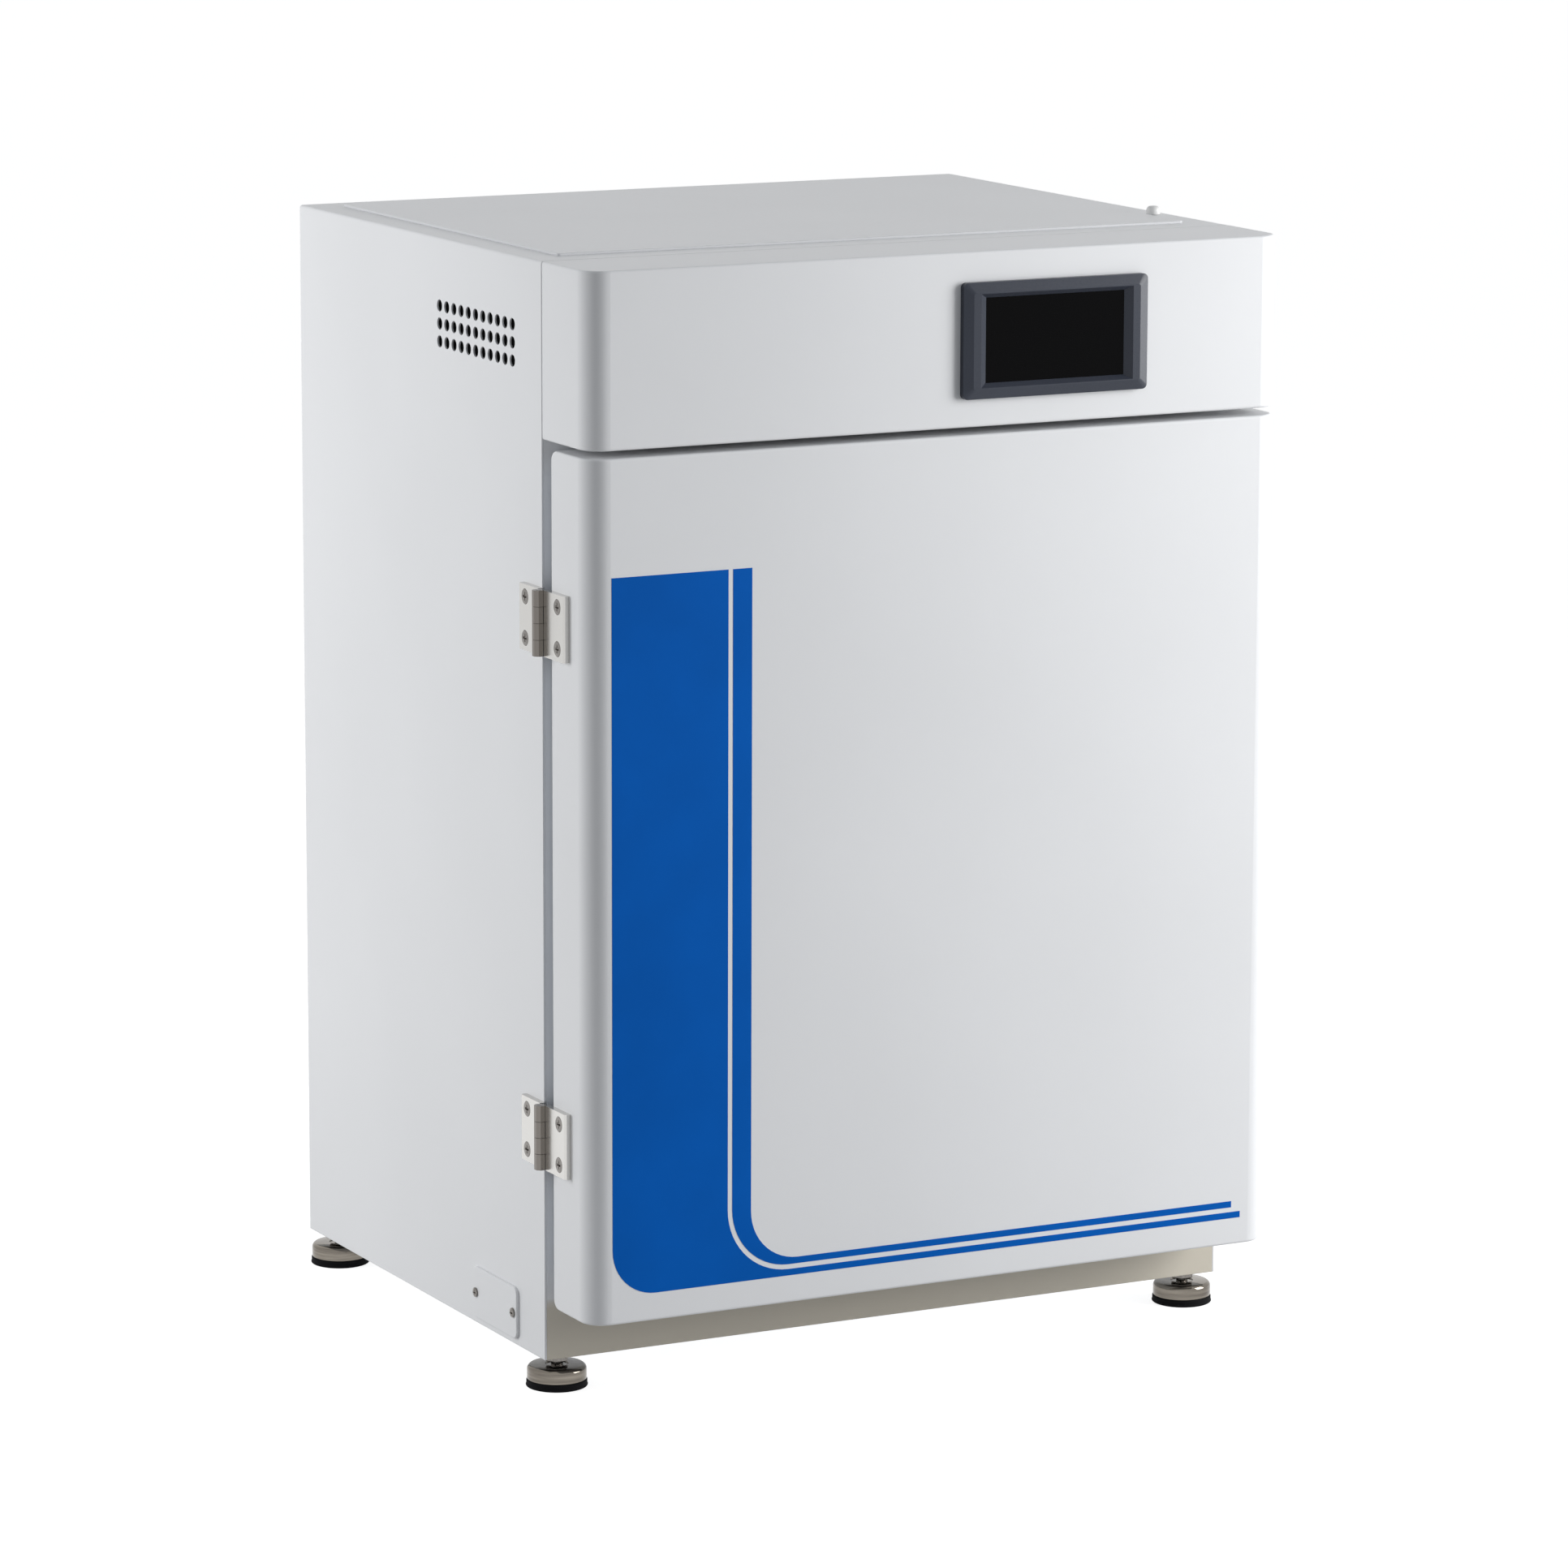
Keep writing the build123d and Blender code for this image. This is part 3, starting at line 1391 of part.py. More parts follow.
with BuildPart() as port_stopper:
    y_stopper_face = y_back + port_flange + moving_gap
    rod_back(port_x, z_port, y_chamber_back, y_stopper_face, port_bore_radius - moving_gap)
    rod_back(port_x, z_port, y_stopper_face, y_stopper_face + stopper_head, stopper_head_radius)
    fillet(port_stopper.faces().sort_by(Axis.Y)[-1].edges(), edge_radius)
port_stopper.part.label = "port_stopper"
export_step(port_stopper.part, "parts/port_stopper.step")

# Tray that carries the electronics above the chamber
with BuildPart() as electronics_tray:
    block((-x_wall, x_wall), (y_frame_back, y_wall_back), (z_tray, z_tray_top))
    rod_up(gas_x, y_nozzle, z_tray, z_tray_top, gas_tube_radius + hole_gap, Mode.SUBTRACT)
electronics_tray.part.label = "electronics_tray"
export_step(electronics_tray.part, "parts/electronics_tray.step")

with BuildPart() as power_supply:
    y_supply = y_seam + supply_behind_seam
    block(
        (supply_x - supply_length / 2, supply_x + supply_length / 2),
        (y_supply - supply_width / 2, y_supply + supply_width / 2),
        (z_tray_top, z_tray_top + supply_height),
    )
    fillet(power_supply.edges().filter_by(Axis.Z), supply_lid_radius)
power_supply.part.label = "power_supply"
export_step(power_supply.part, "parts/power_supply.step")

with BuildPart() as control_board:
    y_board = y_seam + board_behind_seam
    z_board = z_tray_top + standoff_height
    z_parts = z_board + board_thickness
    block(
        (board_x - board_length / 2, board_x + board_length / 2),
        (y_board - board_width / 2, y_board + board_width / 2), (z_board, z_parts),
    )
    with BuildSketch(level_sketch(z_tray_top)):
        with Locations((board_x, y_board)):
            with GridLocations(
                board_length - 2 * standoff_margin, board_width - 2 * standoff_margin, 2, 2
            ):
                Circle(standoff_radius)
    extrude(amount=standoff_height)
    with BuildSketch(level_sketch(z_parts)):
        with Locations((board_x, y_board + board_width / 4)):
            with GridLocations(relay_pitch, 0, relay_count, 1):
                Rectangle(relay_size, relay_size)
    extrude(amount=relay_height)
    with BuildSketch(level_sketch(z_parts)):
        with Locations((board_x, y_board - board_width / 4)):
            with GridLocations(3 * capacitor_radius, 0, relay_count - 2, 1):
                Circle(capacitor_radius)
    extrude(amount=capacitor_height)
control_board.part.label = "control_board"
export_step(control_board.part, "parts/control_board.step")

# Gas line from the back wall: inlet, filter, solenoid valve and tubes
with BuildPart() as gas_inlet:
    rod_back(gas_x, z_gas, y_tail, y_back + rear_reach, gas_tube_radius)
    rod_back(gas_x, z_gas, y_wall_back - sheet, y_back, gas_thread_radius)
    with BuildSketch(front_sketch(y_back)):
        with Locations((gas_x, z_gas)):
            RegularPolygon(gas_hex / 2, 6, major_radius=False)
    extrude(amount=-gas_hex_length)
gas_inlet.part.label = "gas_inlet"
export_step(gas_inlet.part, "parts/gas_inlet.step")

with BuildPart() as gas_filter:
    rod_back(gas_x, z_gas, y_filter_front, y_filter_back, gas_tube_radius)
    rod_back(
        gas_x, z_gas, y_filter_front + gas_nipple, y_filter_back - gas_nipple, gas_filter_radius
    )
gas_filter.part.label = "gas_filter"
export_step(gas_filter.part, "parts/gas_filter.step")

with BuildPart() as solenoid_valve:
    y_valve_mid = (y_valve_front + y_valve_back) / 2
    block(
        (gas_x - valve_width / 2, gas_x + valve_width / 2), (y_valve_front, y_valve_back),
        (z_tray_top, z_gas + valve_above_axis),
    )
    block(
        (gas_x - valve_coil_width / 2, gas_x + valve_coil_width / 2),
        (y_valve_mid - valve_coil_width / 2, y_valve_mid + valve_coil_width / 2),
        (z_gas + valve_above_axis, z_gas + valve_above_axis + valve_coil_height),
    )
solenoid_valve.part.label = "solenoid_valve"
export_step(solenoid_valve.part, "parts/solenoid_valve.step")

with BuildPart() as gas_tubing:
    rod_back(gas_x, z_gas, y_filter_back, y_tail, gas_tube_radius)
    rod_back(gas_x, z_gas, y_valve_back, y_filter_front, gas_tube_radius)
    with BuildLine() as tube_route:
        FilletPolyline(
            (gas_x, y_valve_front, z_gas),
            (gas_x, y_nozzle, z_gas),
            (gas_x, y_nozzle, z_chamber_top - nozzle_length),
            radius=tube_bend,
        )
    with BuildSketch(front_sketch(y_valve_front)):
        with Locations((gas_x, z_gas)):
            Circle(gas_tube_radius)
    sweep(path=tube_route.wires()[0])
gas_tubing.part.label = "gas_tubing"
export_step(gas_tubing.part, "parts/gas_tubing.step")

# Mains inlet module: socket with three blades below, window for the rocker above
y_module = y_back + module_flange
z_socket = z_inlet - socket_drop
z_rocker = z_inlet + rocker_rise
with BuildPart() as power_inlet:
    rounded_plate(
        module_width, module_height, fold_radius, (inlet_x, z_inlet), y_back, y_module
    )
    block(
        (inlet_x - module_body_width / 2, inlet_x + module_body_width / 2),
        (y_wall_back - module_depth, y_back),
        (z_inlet - module_body_height / 2, z_inlet + module_body_height / 2),
    )
    rounded_plate(
        socket_width, socket_height, fold_radius, (inlet_x, z_socket),
        y_module - socket_depth, y_module, Mode.SUBTRACT,
    )
    block(
        (inlet_x - rocker_window_half, inlet_x + rocker_window_half),
        (y_module - rocker_window_depth, y_module),
        (z_rocker - rocker_window_height / 2, z_rocker + rocker_window_height / 2),
        Mode.SUBTRACT,
    )
    for x_step, z_step in ((-blade_pitch, -blade_rise), (0, blade_rise), (blade_pitch, -blade_rise)):
        block(
            (inlet_x + x_step - blade_wide / 2, inlet_x + x_step + blade_wide / 2),
            (y_module - socket_depth, y_module - socket_depth + blade_reach),
            (z_socket + z_step - blade_tall / 2, z_socket + z_step + blade_tall / 2),
        )
power_inlet.part.label = "power_inlet"
export_step(power_inlet.part, "parts/power_inlet.step")

# Rocker of the mains switch, resting with its left end pressed in
y_rocker = y_module - rocker_pivot_depth
turned = Plane(
    origin=(inlet_x, y_rocker, z_rocker - rocker_height / 2),
    x_dir=(cos(radians(rocker_tilt)), sin(radians(rocker_tilt)), 0),
    z_dir=(0, 0, 1),
)
with BuildPart() as power_rocker:
    with BuildSketch(turned):
        with BuildLine():
            Polyline(
                (-rocker_skirt_half, -rocker_skirt),
                (rocker_skirt_half, -rocker_skirt),
                (rocker_half_width, rocker_crown),
                (0, rocker_dip),
                (-rocker_half_width, rocker_crown),
                close=True,
            )
        make_face()
    extrude(amount=rocker_height)
power_rocker.part.label = "power_rocker"
export_step(power_rocker.part, "parts/power_rocker.step")

# White plug in the top edge on the right
with BuildPart() as vent_plug:
    z_plug = z_top + moving_gap
    rod_up(vent_plug_x, y_vent_plug, z_plug, z_plug + vent_plug_height, vent_plug_radius)
    fillet(vent_plug.faces().sort_by(Axis.Z)[-1].edges(), vent_plug_radius * 0.6)
    rod_up(vent_plug_x, y_vent_plug, z_plug - vent_plug_depth, z_plug, vent_plug_stem)
vent_plug.part.label = "vent_plug"
export_step(vent_plug.part, "parts/vent_plug.step")

# Levelling feet: rubber pad, steel cup on a threaded stud, lock nut
for name, (x, y) in foot_places.items():
    z_cup = pad_height + snug
    z_nut = z_base - moving_gap - nut_height
    with BuildPart() as foot:
        rod_up(x, y, z_cup, z_cup + cup_height, cup_radius)
        fillet(foot.faces().sort_by(Axis.Z)[-1].edges(), cup_round)
        rod_up(x, y, z_cup + cup_height, z_base + stud_in_boss, stud_radius)
        rod_up(x, y, 0, pad_height, pad_radius)
        with BuildSketch(level_sketch(z_nut)):
            with Locations((x, y)):
                RegularPolygon(nut_across_flats / 2, 6, major_radius=False)
                Circle(stud_radius + snug, mode=Mode.SUBTRACT)
        extrude(amount=nut_height)
    foot.part.label = name
    export_step(foot.part, f"parts/{name}.step")
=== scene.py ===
# %% [markdown]
# # A bench-top carbon dioxide incubator
# The CAD model brings every rigid piece in its right place. This lesson dresses it: each finish
# gets a procedural material, small pieces that CAD keeps plain are rebuilt in full detail, and a
# plain studio lights the result. All lengths are in metres, with the floor at z = 0.

# %% Load the CAD frame
import math

import bmesh
import bpy
from mathutils import Matrix, Vector


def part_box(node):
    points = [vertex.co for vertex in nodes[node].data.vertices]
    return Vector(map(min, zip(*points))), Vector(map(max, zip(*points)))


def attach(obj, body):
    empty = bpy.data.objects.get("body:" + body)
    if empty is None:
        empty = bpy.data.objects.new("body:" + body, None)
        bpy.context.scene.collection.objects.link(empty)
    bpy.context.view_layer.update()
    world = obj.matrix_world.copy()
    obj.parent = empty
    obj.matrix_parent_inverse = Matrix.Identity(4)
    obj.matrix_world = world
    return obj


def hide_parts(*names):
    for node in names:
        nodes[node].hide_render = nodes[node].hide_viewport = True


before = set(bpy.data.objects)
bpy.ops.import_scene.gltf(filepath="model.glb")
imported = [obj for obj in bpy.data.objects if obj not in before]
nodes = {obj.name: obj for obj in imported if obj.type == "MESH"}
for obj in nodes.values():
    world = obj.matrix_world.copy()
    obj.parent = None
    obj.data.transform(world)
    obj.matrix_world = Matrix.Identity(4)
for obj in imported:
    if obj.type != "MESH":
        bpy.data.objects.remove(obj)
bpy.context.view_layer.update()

# %% [markdown]
# ## Reading places from the CAD
# A cabinet is dressed by its own edges, so a few places are read once from the nodes: the outer
# faces of the cabinet, the box of the door gasket and the axis of the hinges. Nothing is typed
# twice, and the dressing follows if the CAD changes.

# %% Places
mm, micron = 1e-3, 1e-6
left_low, left_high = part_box("left_side_panel")
x_left, x_right = left_low.x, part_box("right_side_panel")[1].x
y_seam, y_back = left_low.y, left_high.y
z_base, z_top = left_low.z, left_high.z
gasket_low, gasket_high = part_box("door_gasket")
pin_low, pin_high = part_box("hinge_pins")
hinge_axis = (pin_low + pin_high) / 2
print("cabinet", round(x_right - x_left, 4), "wide,", round(z_top - z_base, 4), "high")
print("hinge axis at", [round(c, 4) for c in hinge_axis])

# %% [markdown]
# ## Making a mesh piece
# Most small hardware is turned on a lathe or cut from plate. A turned shape is a stack of rings of
# points with a skin of faces between them, and a plate is a block with bevelled edges. A shape is
# only points and faces: the last helper gives it an object, its sharp edges and its material.
# Edges are marked sharp by angle, so round faces stay smooth.


# %% Mesh helpers
def ring(radius, z, steps):
    """Points round the Z axis at one height."""
    turns = [math.tau * step / steps for step in range(steps)]
    return [(radius * math.cos(turn), radius * math.sin(turn), z) for turn in turns]


def skin(vertices, steps):
    """Faces between each ring of points and the next, with both ends closed."""
    faces = []
    for row in range(0, len(vertices) - steps, steps):
        for step in range(steps):
            beside = (step + 1) % steps
            above = row + steps
            faces.append((row + step, row + beside, above + beside, above + step))
    faces.append(tuple(reversed(range(steps))))
    faces.append(tuple(range(len(vertices) - steps, len(vertices))))
    return faces


def turned(profile, steps):
    """A profile of (radius, height) points turned about Z."""
    vertices = [point for radius, z in profile for point in ring(radius, z, steps)]
    return vertices, skin(vertices, steps)


def rounded(radius, z, bend, start, end, count):
    """Points of a rounded corner of a profile, from one angle in degrees to another."""
    angles = [math.radians(start + (end - start) * i / count) for i in range(count + 1)]
    return [(radius + bend * math.cos(angle), z + bend * math.sin(angle)) for angle in angles]


def mark_sharp(mesh, degrees=35):
    """Smooth faces with sharp edges where the surface turns by more than the angle."""
    edit = bmesh.new()
    edit.from_mesh(mesh)
    bmesh.ops.recalc_face_normals(edit, faces=edit.faces)
    for face in edit.faces:
        face.smooth = True
    for edge in edit.edges:
        edge.smooth = edge.calc_face_angle(0) < math.radians(degrees)
    edit.to_mesh(mesh)
    edit.free()


def piece(name, vertices, faces, material, degrees=35):
    """A new object with its shape in its mesh, at the origin."""
    mesh = bpy.data.meshes.new(name)
    mesh.from_pydata([tuple(v) for v in vertices], [], faces)
    mark_sharp(mesh, degrees)
    mesh.materials.append(material)
    made = bpy.data.objects.new(name, mesh)
    bpy.context.collection.objects.link(made)
    return made


def placed(shape, matrix):
    """The shape moved or turned by a matrix."""
    vertices, faces = shape
    return [tuple(matrix @ Vector(v)) for v in vertices], faces


def box_shape(low, high, bevel):
    """A block with bevelled edges between two corners."""
    edit = bmesh.new()
    bmesh.ops.create_cube(edit, size=1)
    size = Vector(high) - Vector(low)
    middle = (Vector(high) + Vector(low)) / 2
    for vertex in edit.verts:
        vertex.co = Vector(a * b for a, b in zip(vertex.co, size)) + middle
    bmesh.ops.bevel(edit, geom=edit.edges[:], offset=bevel, segments=2, affect="EDGES")
    edit.verts.index_update()
    shape = [tuple(v.co) for v in edit.verts], [tuple(v.index for v in f.verts) for f in edit.faces]
    edit.free()
    return shape


look_left = Matrix.Rotation(math.radians(-90), 4, "Y")
look_back = Matrix.Rotation(math.radians(-90), 4, "X")
print("a turned shape looks left:", tuple(round(c) for c in look_left @ Vector((0, 0, 1))))

# %% [markdown]
# ## A base for every finish
# Each finish starts as one shader with its plain numbers on its own sockets. What varies over the
# surface, such as a faint mottle, a grain or a brushed line, comes from noise read at Object
# coordinates, so it has a true size in millimetres and stays on the piece when it moves. Pictures
# could do the same, but they need every piece unwrapped and blur when seen close up.


# %% Material helpers
def new_finish(name, colour, roughness, metal=0.0, specular=0.5):
    """A material with its shader, and the node tree to add to."""
    material = bpy.data.materials.new(name)
    material.use_nodes = True
    tree = material.node_tree
    shader = tree.nodes["Principled BSDF"]
    shader.inputs["Base Color"].default_value = (*colour, 1)
    shader.inputs["Roughness"].default_value = roughness
    shader.inputs["Metallic"].default_value = metal
    shader.inputs["Specular IOR Level"].default_value = specular
    return material, tree, shader


def on_piece(tree):
    """Object coordinates: true metres, which stay with the piece when it moves."""
    return tree.nodes.new("ShaderNodeTexCoord").outputs["Object"]


def surface_noise(tree, per_metre, stretch=(1, 1, 1), detail=2):
    """Noise over the piece; stretch gives it a direction."""
    scaled = tree.nodes.new("ShaderNodeMapping")
    scaled.inputs["Scale"].default_value = stretch
    noise = tree.nodes.new("ShaderNodeTexNoise")
    noise.inputs["Scale"].default_value = per_metre
    noise.inputs["Detail"].default_value = detail
    tree.links.new(on_piece(tree), scaled.inputs["Vector"])
    tree.links.new(scaled.outputs["Vector"], noise.inputs["Vector"])
    return noise.outputs["Fac"]


def shade_between(tree, shader, value, dark, light, low=0.3, high=0.7):
    """Colour that runs from dark to light with the value."""
    ramp = tree.nodes.new("ShaderNodeValToRGB")
    ramp.color_ramp.elements[0].position = low
    ramp.color_ramp.elements[1].position = high
    ramp.color_ramp.elements[0].color = (*dark, 1)
    ramp.color_ramp.elements[1].color = (*light, 1)
    tree.links.new(value, ramp.inputs["Fac"])
    tree.links.new(ramp.outputs["Color"], shader.inputs["Base Color"])


def roughness_between(tree, shader, value, low, high):
    """Roughness that runs from low to high over the middle of the value's range."""
    span = tree.nodes.new("ShaderNodeMapRange")
    span.inputs["From Min"].default_value = 0.3
    span.inputs["From Max"].default_value = 0.7
    span.inputs["To Min"].default_value = low
    span.inputs["To Max"].default_value = high
    tree.links.new(value, span.inputs["Value"])
    tree.links.new(span.outputs["Result"], shader.inputs["Roughness"])


def relief(tree, shader, value, height, strength):
    """Fine relief of a height in metres; returns its node, which can take a softer normal."""
    bump = tree.nodes.new("ShaderNodeBump")
    bump.inputs["Distance"].default_value = height
    bump.inputs["Strength"].default_value = strength
    tree.links.new(value, bump.inputs["Height"])
    tree.links.new(bump.outputs["Normal"], shader.inputs["Normal"])
    return bump


def soft_edges(tree, bump, radius):
    """Edges that shade as if rounded by a radius in metres."""
    bevel = tree.nodes.new("ShaderNodeBevel")
    bevel.samples = 6
    bevel.inputs["Radius"].default_value = radius
    tree.links.new(bevel.outputs["Normal"], bump.inputs["Normal"])


print("finishes start from one shader each")

# %% [markdown]
# ## Powder coat
# The cabinet, head and door are baked powder coat, cool white and half gloss. Powder melts into a
# skin with a very slight orange peel, a wave of about 2 mm that only shows in reflections, so it
# is a low bump and not a colour. It also rounds every folded edge by most of a millimetre. A broad
# mottle of one or two percent keeps large panels alive. The frame behind the door is coated too.
# Its plinth, low down in the shade, is coloured a darker warm taupe as painted shade, standing for
# the shade there and the warm light bounced up from the floor. All this could be cut into the
# mesh, but at such a size a bump and a bevel node give the same reflections without a single
# extra face.


# %% Powder coat
# The plinth's taupe is painted shade: a darker warm colour standing for the shade under the door and
# the warm light bounced from the floor.
cool_white, plinth_painted_shade = (0.80, 0.808, 0.822), (0.63, 0.585, 0.495)
coat_sheen = 0.45
edge_radius = 0.9 * mm
plinth_top = z_base + 44 * mm


def orange_peel(tree, shader):
    """The low wave and rounded edges of baked powder; returns the wave."""
    wave = surface_noise(tree, 420)
    soft_edges(tree, relief(tree, shader, wave, 30 * micron, 0.35), edge_radius)
    return wave


panel_paint, tree, shader = new_finish("panel_paint", cool_white, 0.38, specular=coat_sheen)
shade_between(
    tree, shader, surface_noise(tree, 5), tuple(c * 0.982 for c in cool_white),
    tuple(c * 1.012 for c in cool_white),
)
roughness_between(tree, shader, orange_peel(tree, shader), 0.35, 0.42)

frame_paint, tree, shader = new_finish("frame_paint", cool_white, 0.36, specular=coat_sheen)
split = tree.nodes.new("ShaderNodeSeparateXYZ")
tree.links.new(on_piece(tree), split.inputs["Vector"])
# Painted shade: below the plinth's top the frame takes the darker warm taupe.
shade_between(
    tree, shader, split.outputs["Z"], plinth_painted_shade, cool_white, plinth_top, plinth_top + mm
)
orange_peel(tree, shader)
print("powder coats:", panel_paint.name, frame_paint.name)

# %% [markdown]
# ## Metals
# Stainless sheet is brushed along its length: long streaks that change the roughness and stand up
# a few microns. The noise is stretched a hundred times along X and Y, so a wall shows level lines.
# Galvanised sheet shows flat zinc crystals, which Voronoi cells draw. Nickel on the cast hinges is
# satin with a soft grain. The turned feet are polished, and their colour is darkened as painted
# reflection: it stands for the dark surroundings that polished metal mirrors.
# A stretched highlight could stand for the streaks, but it needs a direction on every face, and
# stretched noise needs none.
#
# The barrels of the hinges are coloured darker than their leaves as painted reflection: it stands
# for the dark surroundings a polished barrel mirrors. That colour is picked by the distance from
# the hinge axis. A Mix node keeps one set of sockets for each kind of value, so its colours go in
# at sockets 6 and 7 and come out at socket 2, counted from zero.


# %% Brushed and cast metals
def brushed_metal(name, dark, light, low, high, stretch):
    """Metal with streaks from brushing."""
    material, tree, shader = new_finish(name, light, high, metal=1.0)
    streaks = surface_noise(tree, 8, stretch, detail=4)
    shade_between(tree, shader, streaks, dark, light)
    roughness_between(tree, shader, streaks, low, high)
    relief(tree, shader, streaks, 10 * micron, 0.2)
    return material


def zinc_sheet(name):
    """Galvanised sheet with its crystals."""
    material, tree, shader = new_finish(name, (0.6, 0.62, 0.64), 0.42, metal=1.0)
    crystals = tree.nodes.new("ShaderNodeTexVoronoi")
    crystals.inputs["Scale"].default_value = 110
    tree.links.new(on_piece(tree), crystals.inputs["Vector"])
    grey = tree.nodes.new("ShaderNodeSeparateColor")
    tree.links.new(crystals.outputs["Color"], grey.inputs["Color"])
    value = grey.outputs["Red"]
    shade_between(tree, shader, value, (0.47, 0.49, 0.51), (0.66, 0.68, 0.70), 0.0, 1.0)
    roughness_between(tree, shader, value, 0.34, 0.5)
    return material


stainless = brushed_metal(
    "brushed_stainless", (0.50, 0.51, 0.52), (0.58, 0.585, 0.59), 0.28, 0.36, (1, 1, 110)
)
hinge_nickel = brushed_metal(
    "hinge_nickel", (0.56, 0.55, 0.53), (0.63, 0.62, 0.60), 0.16, 0.24, (260, 260, 260)
)
# Painted shade: screw steel is coloured dark all over, standing for the dark rims of the recesses.
screw_steel = brushed_metal(
    "screw_steel", (0.15, 0.14, 0.13), (0.26, 0.245, 0.23), 0.14, 0.22, (90, 90, 90)
)
# Painted reflection: the cup chrome is coloured dark, standing for the dark surroundings that
# polished metal mirrors.
cup_chrome_painted_reflection = brushed_metal(
    "cup_chrome_painted_reflection", (0.13, 0.115, 0.10), (0.26, 0.235, 0.20), 0.07, 0.12, (3, 3, 60)
)
brass = brushed_metal("brass", (0.56, 0.42, 0.19), (0.68, 0.53, 0.27), 0.22, 0.34, (50, 50, 50))
case_aluminium = brushed_metal(
    "case_aluminium", (0.62, 0.63, 0.64), (0.72, 0.73, 0.74), 0.3, 0.42, (1, 90, 1)
)
galvanised = zinc_sheet("galvanised_sheet")

barrel_radius = 4.9 * mm
# Painted reflection: the darker barrel colour stands for the dark surroundings the barrel mirrors.
barrel_painted_reflection = (0.19, 0.175, 0.16, 1)
tree = hinge_nickel.node_tree
shader = tree.nodes["Principled BSDF"]
plated = shader.inputs["Base Color"].links[0].from_socket
from_axis = tree.nodes.new("ShaderNodeMapping")
from_axis.inputs["Location"].default_value = (-hinge_axis.x, -hinge_axis.y, 0)
from_axis.inputs["Scale"].default_value = (1, 1, 0)
reach = tree.nodes.new("ShaderNodeVectorMath")
reach.operation = "LENGTH"
outside = tree.nodes.new("ShaderNodeMath")
outside.operation = "GREATER_THAN"
outside.inputs[1].default_value = barrel_radius
shade = tree.nodes.new("ShaderNodeMix")
shade.data_type = "RGBA"
barrel_in, leaf_in, shade_out = shade.inputs[6], shade.inputs[7], shade.outputs[2]
barrel_in.default_value = barrel_painted_reflection
tree.links.new(on_piece(tree), from_axis.inputs["Vector"])
tree.links.new(from_axis.outputs["Vector"], reach.inputs[0])
tree.links.new(reach.outputs["Value"], outside.inputs[0])
tree.links.new(outside.outputs["Value"], shade.inputs["Factor"])
tree.links.new(plated, leaf_in)
tree.links.new(shade_out, shader.inputs["Base Color"])
print("metals made:", stainless.name, galvanised.name)

# %% [markdown]
# ## Plastics, rubber and print
# Moulded plastic carries a spark-eroded grain of about a third of a millimetre. The display bezel
# is dark blue-grey and half gloss; other mouldings are black or white. The door gasket is soft
# blue-grey vinyl, the seals are milky silicone, and the pads of the feet are black rubber. The
# stripes are printed film: flat, even colour with a low, broad sheen. The grain could be left out
# at the camera's distance, but it is what makes a moulding look moulded close by.


# %% Moulded and soft finishes
def moulded(name, shade, roughness, grain_height=20 * micron, specular=0.5, per_metre=2600):
    """Moulded plastic or rubber with a fine grain."""
    material, tree, shader = new_finish(name, shade, roughness, specular=specular)
    grain = surface_noise(tree, per_metre)
    shade_between(
        tree, shader, surface_noise(tree, 14), tuple(c * 0.94 for c in shade),
        tuple(c * 1.05 for c in shade),
    )
    roughness_between(tree, shader, grain, roughness - 0.04, roughness + 0.06)
    relief(tree, shader, grain, grain_height, 0.6)
    return material


bezel_plastic = moulded("bezel_plastic", (0.030, 0.036, 0.053), 0.3, specular=0.3)
black_plastic = moulded("black_plastic", (0.018, 0.019, 0.021), 0.44, specular=0.35)
white_plastic = moulded("white_plastic", (0.80, 0.80, 0.79), 0.36, 10 * micron)
gasket_vinyl = moulded("gasket_vinyl", (0.50, 0.545, 0.61), 0.55)
silicone = moulded("silicone", (0.74, 0.75, 0.74), 0.45, 10 * micron, per_metre=900)
milky = silicone.node_tree.nodes["Principled BSDF"]
milky.inputs["Subsurface Weight"].default_value = 0.15
milky.inputs["Subsurface Scale"].default_value = 3 * mm
pad_rubber = moulded("pad_rubber", (0.006, 0.006, 0.007), 0.8, 40 * micron, 0.1, 1500)
stripe_film = moulded("stripe_film", (0.0010, 0.110, 0.49), 0.5, 4 * micron, 0.05, 700)
# Painted shade: the black vent sheet stands for the dark inside of the electronics bay.
vent_shade_sheet = moulded("vent_shade_sheet", (0.004, 0.004, 0.0045), 0.9, 100 * micron, 0.05, 1200)
print("moulded finishes:", bezel_plastic.name, gasket_vinyl.name, stripe_film.name)

# %% [markdown]
# ## Glass
# The touch panel is black with a smooth face, and a grid of small cells that barely shows on it.
# The grid is a brick texture with no shift from row to row, turned to stand upright. The inner
# door is clear toughened glass, which looks faintly green. It stays a true glass shader, so the
# chamber shows through.


# %% Glass finishes
screen_glass, tree, shader = new_finish("screen_glass", (0.002, 0.002, 0.0024), 0.12, specular=0.05)
cell_size, cell_gap = 1.2 * mm, 0.1 * mm
cells = tree.nodes.new("ShaderNodeTexBrick")
cells.offset = 0
cells.inputs["Scale"].default_value = 1
cells.inputs["Brick Width"].default_value = cell_size
cells.inputs["Row Height"].default_value = cell_size
cells.inputs["Mortar Size"].default_value = cell_gap
cells.inputs["Color1"].default_value = (0.0022, 0.0022, 0.0025, 1)
cells.inputs["Color2"].default_value = (0.0026, 0.0026, 0.0029, 1)
cells.inputs["Mortar"].default_value = (0.0012, 0.0012, 0.0014, 1)
upright = tree.nodes.new("ShaderNodeMapping")
upright.inputs["Rotation"].default_value = (math.radians(90), 0, 0)
tree.links.new(on_piece(tree), upright.inputs["Vector"])
tree.links.new(upright.outputs["Vector"], cells.inputs["Vector"])
